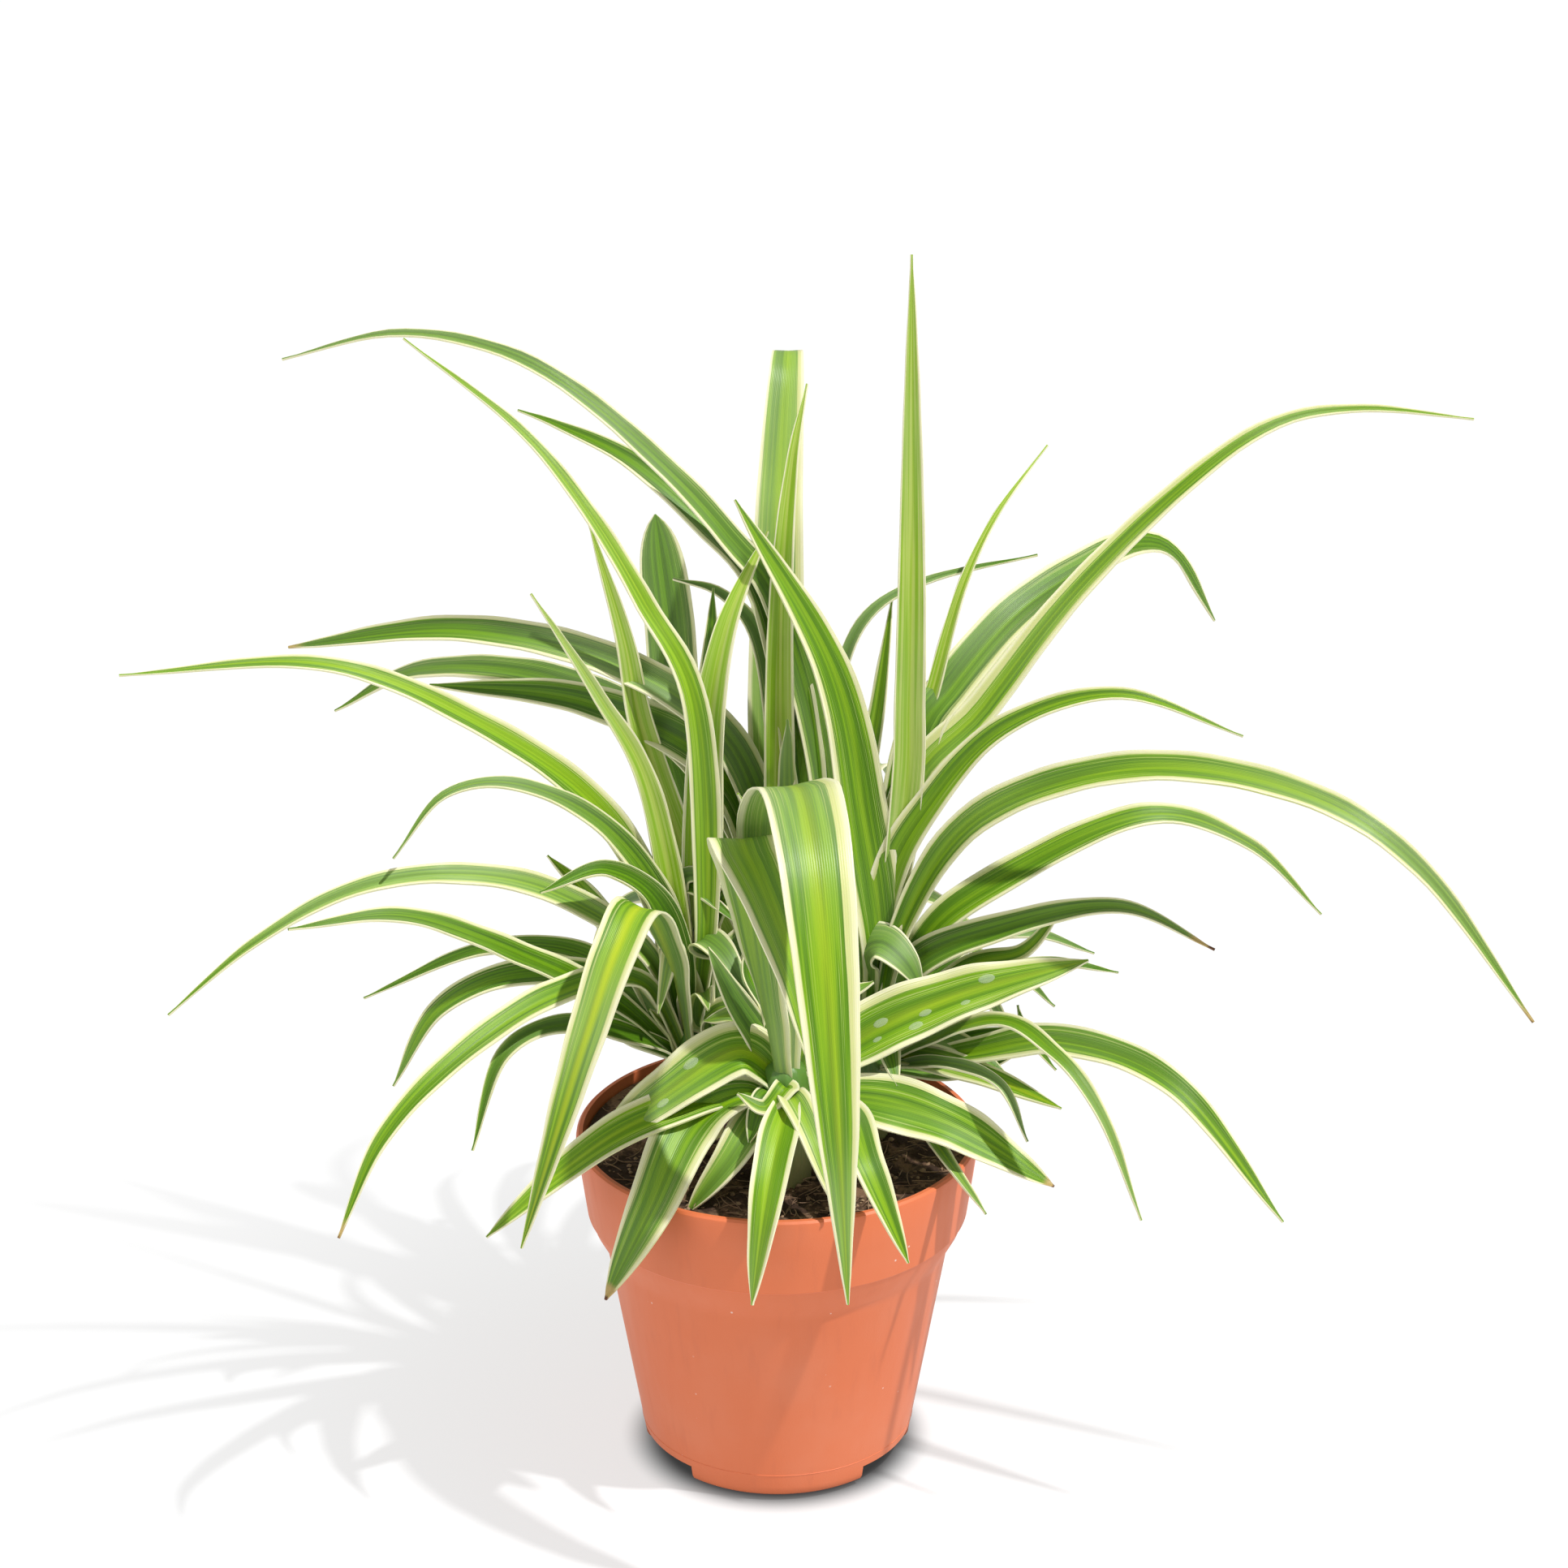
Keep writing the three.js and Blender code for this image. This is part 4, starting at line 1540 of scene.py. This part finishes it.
BACK = (
    Leaf(
        166,
        11,
        (
            (-12, 60),
            (-10, 112),
            (3, 160),
            (17, 179),
            (34, 197),
            (61, 219),
            (86, 231),
            (118, 234),
            (153, 224),
        ),
        Look.DARK,
        FINE,
    ),
    Leaf(
        156,
        14,
        ((-6, 70), (-4, 120), (7, 163), (25, 181), (50, 198), (74, 206), (87, 209)),
        Look.DARK,
    ),
    Leaf(165, 10, ((28, 70), (44, 115), (50, 146), (60, 180)), Look.PALE),
    Leaf(
        125,
        15.5,
        ((30, 60), (50, 90), (59, 110), (63, 138), (67, 157), (70, 170)),
        Look.DUSKY,
        ROUND,
        fold=0.5,
    ),
    Leaf(
        98,
        17.5,
        ((10, 118, 2), (20, 160), (30, 187, -2), (56, 221, -8), (96, 188, -13)),
        Look.LUSH,
        fold=0.2,
    ),
    Leaf(60, 10, ((-4, 90), (-4, 158), (2, 200), (11, 224)), Look.PALE),
    Leaf(20, 5, ((5, 80), (14, 128), (24, 153), (44, 163), (79, 167)), Look.DUSKY),
    Leaf(25, 8, ((14, 60), (27, 110), (34, 157)), Look.VIVID),
    Leaf(
        161,
        12,
        ((3, 70), (18, 115), (54, 136), (105, 141), (162, 129)),
        Look.DARK,
        BLUNT,
        dried=0.01,
    ),
    Leaf(157, 17, ((5, 70), (22, 106), (66, 121), (119, 119)), Look.DARK),
    Leaf(150, 14, ((8, 70), (32, 107), (80, 122), (131, 117), (166, 97)), Look.DARK),
    Leaf(70, 14, ((18, 55), (55, 82), (95, 75), (125, 35))),
    Leaf(84, 13, ((14, 62), (48, 90), (92, 84), (128, 50)), Look.VIVID),
    Leaf(100, 14, ((20, 48), (60, 70), (100, 55), (124, 14))),
    Leaf(112, 12, ((12, 60), (44, 84), (84, 78), (116, 42)), Look.STRIPED),
    Leaf(130, 12, ((22, 36), (54, 50), (86, 34), (100, 2)), Look.DARK),
    Leaf(140, 11, ((20, 30), (48, 36), (74, 14))),
    Leaf(50, 12, ((22, 38), (56, 50), (88, 30), (100, 0)), Look.VIVID),
    Leaf(32, 11, ((20, 30), (50, 36), (78, 16)), Look.DARK),
)

# Short curled leaves and small tips in the heart of the clump, and low leaves behind it.
LEFT_HEART = (
    Leaf(-50, 13, ((4, 38), (14, 47), (30, 38)), wave=0.9),
    Leaf(-22, 12, ((4, 36), (16, 46), (33, 44)), Look.DARK, wave=0.9),
    Leaf(20, 12, ((5, 48), (15, 64), (28, 62)), Look.DARK, wave=0.9),
    Leaf(-75, 10, ((3, 40), (8, 52), (16, 50)), Look.CREAMY, wave=0.9),
    Leaf(-5, 9, ((2, 60), (8, 78), (20, 92)), Look.DARK, wave=0.6),
    Leaf(105, 12, ((12, 38), (28, 44), (46, 26)), wave=0.6),
    Leaf(62, 11, ((10, 32), (26, 34), (40, 14)), Look.DARK, wave=0.6),
    Leaf(81, 13, ((8, 60), (20, 112), (34, 163)), Look.DARK, fold=0.3),
)
RIGHT_HEART = (
    Leaf(175, 11, ((5, 50), (13, 70), (26, 74)), Look.DARK, wave=0.9),
    Leaf(-115, 12, ((5, 38), (15, 48), (28, 40)), wave=0.9),
    Leaf(-150, 10, ((4, 48), (10, 66), (20, 70)), Look.DUSKY, wave=0.9),
    Leaf(-75, 12, ((5, 36), (18, 44), (34, 34)), Look.DARK, wave=0.6),
    Leaf(78, 12, ((12, 36), (30, 42), (48, 24)), wave=0.6),
    Leaf(112, 11, ((10, 32), (24, 34), (38, 14)), Look.DARK, wave=0.6),
)
FRONT_HEART = (
    Leaf(150, 12, ((5, 40), (15, 50), (27, 46)), wave=0.9),
    Leaf(172, 10, ((5, 42), (14, 58), (22, 74)), Look.DUSKY, wave=0.6),
    Leaf(-120, 9, ((5, 30), (12, 32), (20, 22)), Look.DARK, wave=0.6),
    Leaf(30, 11, ((5, 40), (16, 54), (30, 58)), wave=0.9),
)
BACK_HEART = (
    Leaf(-100, 13, ((4, 52), (12, 76), (24, 82), (36, 62)), Look.DARK, wave=0.9),
    Leaf(-130, 11, ((4, 60), (12, 90), (22, 108)), Look.VIVID, wave=0.6),
    Leaf(-60, 12, ((4, 58), (14, 84), (28, 90)), Look.DARK, wave=0.9),
    Leaf(-90, 10, ((2, 80), (6, 112), (14, 130)), Look.GREEN, wave=0.6),
    Leaf(92, 14, ((12, 30), (32, 32), (52, 6)), wave=0.6),
    Leaf(152, 13, ((10, 34), (28, 38), (46, 20)), Look.STRIPED, wave=0.6),
    Leaf(35, 12, ((10, 32), (28, 36), (44, 16)), Look.VIVID, wave=0.6),
    Leaf(120, 11, ((8, 26), (22, 24), (34, 0)), Look.DARK, wave=0.6),
    Leaf(150, 10, ((0, 60), (2, 110), (9, 147), (22, 160), (39, 162)), Look.DARK),
)

CROWNS = (
    Crown("left", (-24.0, 4.0), LEFT + LEFT_HEART, seed=3),
    Crown("right", (26.0, 4.0), RIGHT + RIGHT_HEART, seed=5),
    Crown("front", (2.0, -24.0), FRONT + FRONT_HEART, seed=7),
    Crown("back", (3.0, 30.0), BACK + BACK_HEART, seed=9),
)


# ---------------------------------------------------------------- water
@dataclass(frozen=True)
class Wetting:
    """The drops on one leaf, each by its share of the length and its side, from -1 to 1."""

    crown: str
    leaf: int
    places: tuple[Point, ...]


@dataclass
class Drops:
    """Small water drops that stand on three of the leaves."""

    wet: tuple[Wetting, ...] = (
        Wetting(
            "front",
            10,
            ((0.34, 0.35), (0.37, -0.1), (0.46, 0.5), (0.5, 0.2), (0.62, 0.4), (0.7, -0.3)),
        ),
        Wetting("front", 1, ((0.5, 0.3), (0.66, -0.35))),
        Wetting("left", 9, ((0.3, 0.2), (0.36, -0.3))),
    )
    smallest: float = 0.6
    largest: float = 1.5
    stretch: float = 1.9
    flatness: float = 0.3
    step_along: float = 0.01
    step_across: float = 0.02
    smooth_angle: float = 60.0
    seed: int = 21

    def build(self, crowns: dict[str, Crown]) -> None:
        """Builds and dresses the drops.

        Args:
            crowns: the crowns by name.
        """
        draw = random.Random(self.seed)
        select_only()
        bpy.ops.mesh.primitive_uv_sphere_add(segments=20, ring_count=12, radius=1.0)
        first = named("drop")
        template = points_of(first) * (self.stretch, 1, self.flatness)
        made = []
        for wet in self.wet:
            for share, side in wet.places:
                corner, turn = self.seat(crowns[wet.crown], wet.leaf, share, side)
                size = draw.uniform(self.smallest, self.largest)
                drop = first if not made else copied(first, f"drop_{len(made)}")
                move_points(drop, (template @ turn * size + corner) * MM)
                made.append(drop)
        drops = joined("water_drops", made)
        smooth(drops, self.smooth_angle)
        drops.data.materials.append(WaterFinish().material())
        finish_piece(drops, "leaf")

    def seat(
        self, crown: Crown, index: int, share: float, side: float
    ) -> tuple[np.ndarray, np.ndarray]:
        """Finds where a drop stands on a leaf, and which way.

        Args:
            crown: the crown that holds the leaf.
            index: the leaf's place in the crown.
            share: the drop's share of the leaf's length.
            side: its place across, from -1 to 1.

        Returns:
            Its place and its turn, with one row for each of its own axes.
        """
        shares = np.array((share, share + self.step_along, share))
        sides = np.array((side, side, side + self.step_across))
        corner, ahead, beside = crown.blade.surface(crown.leaves[index], crown.place, shares, sides)
        along = Vector(ahead - corner).normalized()
        normal = along.cross(Vector(corner - beside)).normalized()
        if normal.z < 0:
            normal.negate()
        return corner, np.array(Matrix((along, normal.cross(along), normal)))


# ---------------------------------------------------------------- studio
@dataclass
class Studio:
    """A plain white floor, sunny light from the right, soft light all round and the camera.

    Places and the floor's size are in metres, angles in degrees and the lens in millimetres.
    """

    camera_place: Triple = (0.002, -1.0, 0.605)
    camera_pitch: float = 21.35
    lens: float = 85.75
    sensor: float = 36.0
    floor_size: float = 30.0
    sun_place: Triple = (1.0, -1.0, 2.0)
    sun_heading: float = -31.0
    sun_height: float = 60.0
    sun_width: float = 1.5
    sun_power: float = 3.3
    fill_place: Triple = (-0.9, -1.0, 1.1)
    fill_aim: Triple = (0.0, 0.0, 0.15)
    fill_size: float = 1.2
    fill_power: float = 5.0
    ambient: float = 0.42

    def build(self) -> None:
        """Builds the floor, the lights and the camera."""
        select_only()
        bpy.ops.mesh.primitive_plane_add(size=self.floor_size)
        floor = named("floor")
        floor.data.materials.append(FloorFinish().material())
        self.add_camera()
        self.add_sun()
        self.add_fill()
        world = bpy.data.worlds.new("studio")
        world.use_nodes = True
        background = world.node_tree.nodes["Background"]
        background.inputs["Color"].default_value = rgb(1, 1, 1)
        background.inputs["Strength"].default_value = self.ambient
        bpy.context.scene.world = world
        bpy.context.scene.view_settings.view_transform = "Standard"

    def add_camera(self) -> None:
        """Adds the camera."""
        pitch = math.radians(90 - self.camera_pitch)
        bpy.ops.object.camera_add(location=self.camera_place, rotation=(pitch, 0, 0))
        camera = bpy.context.object
        camera.data.lens = self.lens
        camera.data.sensor_width = self.sensor
        bpy.context.scene.camera = camera

    def add_sun(self) -> None:
        """Adds the main light, which throws the shadow to the left and a little back."""
        lean = math.radians(90 - self.sun_height)
        turn = math.radians(self.sun_heading + 90)
        bpy.ops.object.light_add(type="SUN", location=self.sun_place, rotation=(lean, 0, turn))
        sun = bpy.context.object
        sun.data.angle = math.radians(self.sun_width)
        sun.data.energy = self.sun_power

    def add_fill(self) -> None:
        """Adds a square soft light that points at the plant."""
        aim = Vector(self.fill_aim) - Vector(self.fill_place)
        turn = aim.to_track_quat("-Z", "Y").to_euler()
        bpy.ops.object.light_add(type="AREA", location=self.fill_place, rotation=turn)
        fill = bpy.context.object
        fill.data.size = self.fill_size
        fill.data.energy = self.fill_power


def main() -> None:
    """Builds the pot, the soil, the crowns, the drops and the studio, in that order."""
    logging.basicConfig(level=logging.INFO, format="%(message)s")
    pot = Pot()
    pot.build(PotFinish())
    Soil().build(pot, SoilFinish())
    leaf_finish = LeafFinish()
    skins = [leaf_finish.material(underside) for underside in (False, True)]
    sheath = SheathFinish().material()
    for crown in CROWNS:
        crown.build(skins, sheath)
    Drops().build({crown.name: crown for crown in CROWNS})
    Studio().build()


if __name__ == "__main__":
    main()
